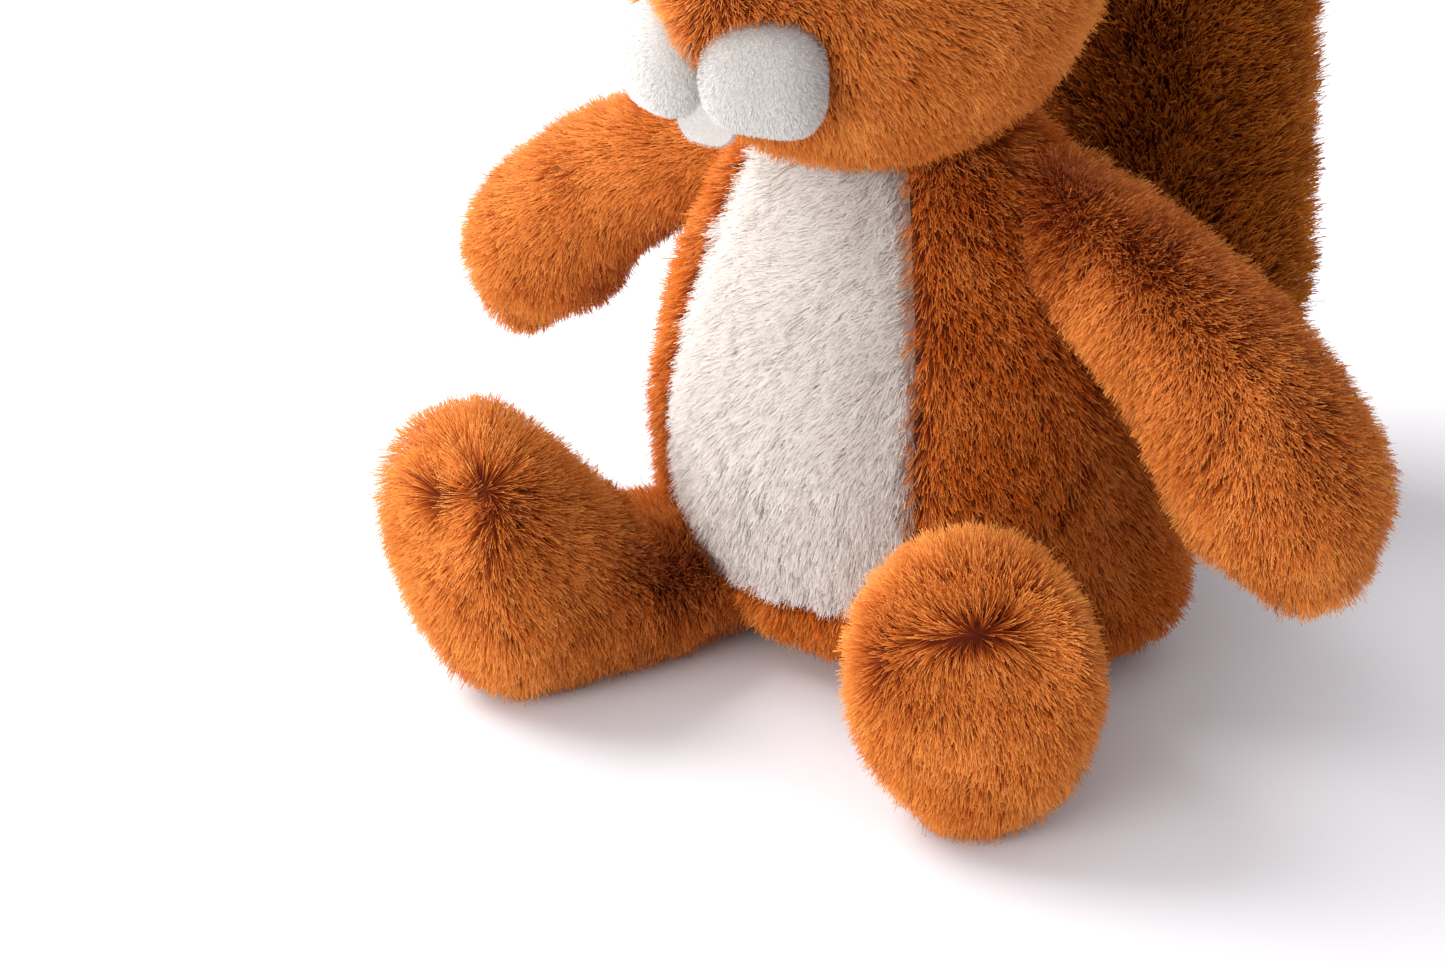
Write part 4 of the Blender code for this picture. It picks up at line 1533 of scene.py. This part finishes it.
@dataclass
class Toy:
    """The whole squirrel, built part by part."""

    body: Body = field(default_factory=Body)
    head: Head = field(default_factory=Head)
    muzzle: Muzzle = field(default_factory=Muzzle)
    tail: Tail = field(default_factory=Tail)
    arms: tuple[Arm, ...] = (Arm(Side.LEFT, 0.016), Arm(Side.RIGHT, 0.004, 4.0, radius=0.0215))
    # Leg partings and the haunch crease also darken the pile along them: painted shade in the whorls and
    # creases
    legs: tuple[Leg, ...] = (
        Leg(Side.LEFT, 32.5, -3.0, 0.0955, 0.0024, (
            ((0.0976, -0.0200, 0.0505), (0.0941, 0.0050, 0.059), 0.030, 0.0035, 0.18, 0.85),
            ((0.0900, 0.0060, 0.066), (0.0860, 0.0030, 0.070), 0.012, 0.0060, 0.18, 0.0))),
        Leg(Side.RIGHT, 15.0, 9.0, 0.101, 0.0, (
            ((0.0975, 0.0040, 0.0560), (0.0900, 0.0130, 0.060), 0.030, 0.0050, 0.08, 0.80),)))
    # The darker pile along the haunch crease is painted shade
    haunch_crease: Parting = Parting((0.0616, -0.0432, 0.0479), (0.0687, -0.0287, 0.062),
                                     0.008, 0.003, 0.15, 0.35)
    nose_whorl: Place = (0.0, -0.1, 0.200)
    skin_gap: float = 0.0008
    seam_gap: float = 0.0003
    seat_line: float = 0.0038
    panel_line: float = -0.03

    def build(self) -> None:
        """Make the skins, then the pile and the trim."""
        self.materials = {finish: finish.build() for finish in (ORANGE, CREAM, BROWN, WHITE)}
        self.body_skin = self.body.skin()
        self.head_skin = skin_of("head_skin", self.head.rings(), 0.3)
        self.body_solid, self.head_solid = Solid.of(self.body_skin), Solid.of(self.head_skin)
        self.puffs = {side: self.trimmed(self.muzzle.puff(side)) for side in Side}
        self.puff_solids = [Solid.of(puff) for puff in self.puffs.values()]
        self.build_limbs()
        self.build_body()
        self.build_head()
        self.build_muzzle()
        self.build_ears()
        self.build_buttons()
        discard(self.body_skin, self.head_skin)

    def trimmed(self, skin: bpy.types.Object) -> bpy.types.Object:
        """Skin cut back to the body's and the head's skins."""
        combine(skin, self.body_skin, "DIFFERENCE")
        combine(skin, self.head_skin, "DIFFERENCE")
        return skin

    def outside(self, points: Array) -> Array:
        """Leave out places in or on the body and the head."""
        return clear_of(points, [self.body_solid, self.head_solid], self.skin_gap)

    def dress(self, coat: PileCoat, skin: bpy.types.Object, finish: PileFinish,
              nodes: tuple[str, ...]) -> None:
        """Cover a skin with its pile and put it in its CAD nodes' place.

        Args:
            coat: the pile.
            skin: skin that it grows on.
            finish: what the pile is made of.
            nodes: CAD nodes that the piece stands for.
        """
        piece = coat.cover(skin, self.materials[finish])
        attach(piece, BODY)
        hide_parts(*nodes)

    def build_limbs(self) -> None:
        """Arms, legs and tail."""
        self.limb_solids = []
        limbs = [(f"arm_{arm.side.word}", arm) for arm in self.arms]
        limbs += [(f"leg_{leg.side.word}", leg) for leg in self.legs] + [("tail", self.tail)]
        for index, (name, limb) in enumerate(limbs):
            comb = limb.comb()
            furrow = limb.furrow if isinstance(limb, Leg) else 0.0
            pile, finish = (TAIL_PILE, BROWN) if isinstance(limb, Tail) else (LIMB_PILE, ORANGE)
            skin = self.trimmed(skin_of(f"{name}_skin", press(limb.rings(), comb.partings, furrow), 0.7))
            self.limb_solids.append(Solid.of(skin))
            coat = PileCoat(f"{name}_pile", pile, comb, 20 + index, keep=self.outside)
            self.dress(coat, skin, finish, (f"{name}_cover", f"{name}_stuffing"))

    def build_body(self) -> None:
        """Orange body and its cream panel."""
        from_seam = self.body.from_seam
        wedge = self.body.panel_wedge()
        rest = copied(self.body_skin)
        combine(rest, self.head_skin, "DIFFERENCE")
        panel = copied(rest)
        combine(panel, wedge, "INTERSECT")
        combine(rest, wedge, "DIFFERENCE")
        discard(wedge)
        neighbours = [self.head_solid, *self.limb_solids]

        def on_body(points: Array) -> Array:
            """Places beside the panel, above the seat and clear of head and limbs."""
            beside = (from_seam(points) > self.seam_gap) & (points[:, 2] > self.seat_line)
            return beside & clear_of(points, neighbours)

        def on_panel(points: Array) -> Array:
            """Places on the front of the panel, clear of head and limbs."""
            ahead = (from_seam(points) < -self.seam_gap) & (points[:, 1] < self.panel_line)
            return ahead & clear_of(points, neighbours)

        down = Comb(lambda p: downward(0.2 * np.sign(p[:, 0])), [self.haunch_crease])
        slant = Comb(lambda p: downward(-0.75 * np.clip((p[:, 2] - 0.03) / 0.08, 0.1, 1)))
        coat = PileCoat("body_pile", BODY_PILE, down, 11, on_body, from_seam)
        self.dress(coat, rest, ORANGE, ("body_cover", "body_stuffing"))
        coat = PileCoat("belly_pile", BELLY_PILE, slant, 12, on_panel, from_seam)
        self.dress(coat, panel, CREAM, ("belly_panel",))

    def build_head(self) -> None:
        """Head, its pile running back from the snout and shorter beside the puffs."""
        nose = np.array(self.nose_whorl)
        comb = Comb(lambda p: unit(p - nose) + np.array([0.0, 0.45, -0.55]))
        neighbours = [self.body_solid, *self.puff_solids]
        coat = PileCoat("head_pile", HEAD_PILE, comb, 13, lambda p: clear_of(p, neighbours),
                        lambda p: np.minimum(*(solid.distance(p, 0.02) for solid in self.puff_solids)),
                        seam_reach=0.0040, seam_cut=0.60)
        self.dress(coat, copied(self.head_skin), ORANGE, ("head_cover", "head_stuffing"))

    def build_muzzle(self) -> None:
        """Short-piled puffs and the felt tooth."""
        outward = Comb(lambda p: downward(0.4 * np.sign(p[:, 0])))
        for side, skin in self.puffs.items():
            coat = PileCoat(f"muzzle_{side.word}_pile", PUFF_PILE, outward, 30 + side.value, self.outside)
            self.dress(coat, skin, WHITE, (f"muzzle_{side.word}",))
        tab = self.muzzle.tooth()
        combine(tab, self.head_skin, "DIFFERENCE")
        coat = PileCoat("tooth_felt", TOOTH_FUZZ, outward, 35, keep=self.outside)
        piece = coat.cover(tab, self.materials[WHITE])
        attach(piece, BODY)
        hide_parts("front_tooth")

    def build_ears(self) -> None:
        """Both ears with their linings."""
        for side in Side:
            ear = Ear(side)
            name = f"ear_{side.word}"
            skin, lining, area = ear.skins(self.head_skin)
            coat = PileCoat(f"{name}_pile", EAR_PILE, ear.comb(), 40 + side.value,
                            keep=lambda p: self.outside(p) & clear_of(p, [area], 0.0002))
            self.dress(coat, skin, ORANGE, (name,))
            coat = PileCoat(f"{name}_lining_pile", LINING_PILE, ear.comb(), 45 + side.value, self.outside)
            self.dress(coat, lining, CREAM, (f"{name}_lining",))

    def build_buttons(self) -> None:
        """Eyes, nose and their washers."""
        black, clear = BLACK.build(), CLEAR.build()
        eyes = [Button(f"eye_{side.word}", side.value * 0.025, 0.207, 0.0070, 0.0045) for side in Side]
        for button in (*eyes, Button("nose", 0.0, 0.1955, 0.0085, 0.0055)):
            piece = button.build(self.head)
            piece.name = f"{button.name}_button"
            piece.data.materials.append(black)
            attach(piece, BODY)
            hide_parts(button.name)
            for slot in frame["nodes"][f"{button.name}_washer"].material_slots:
                slot.material = clear
            LOG.info("%s: %d faces", piece.name, len(piece.data.polygons))


def main() -> None:
    logging.basicConfig(level=logging.INFO, format="%(message)s")
    studio = Studio()
    studio.aim_camera()
    studio.lay_floor()
    studio.light()
    Toy().build()


if __name__ == "__main__":
    main()
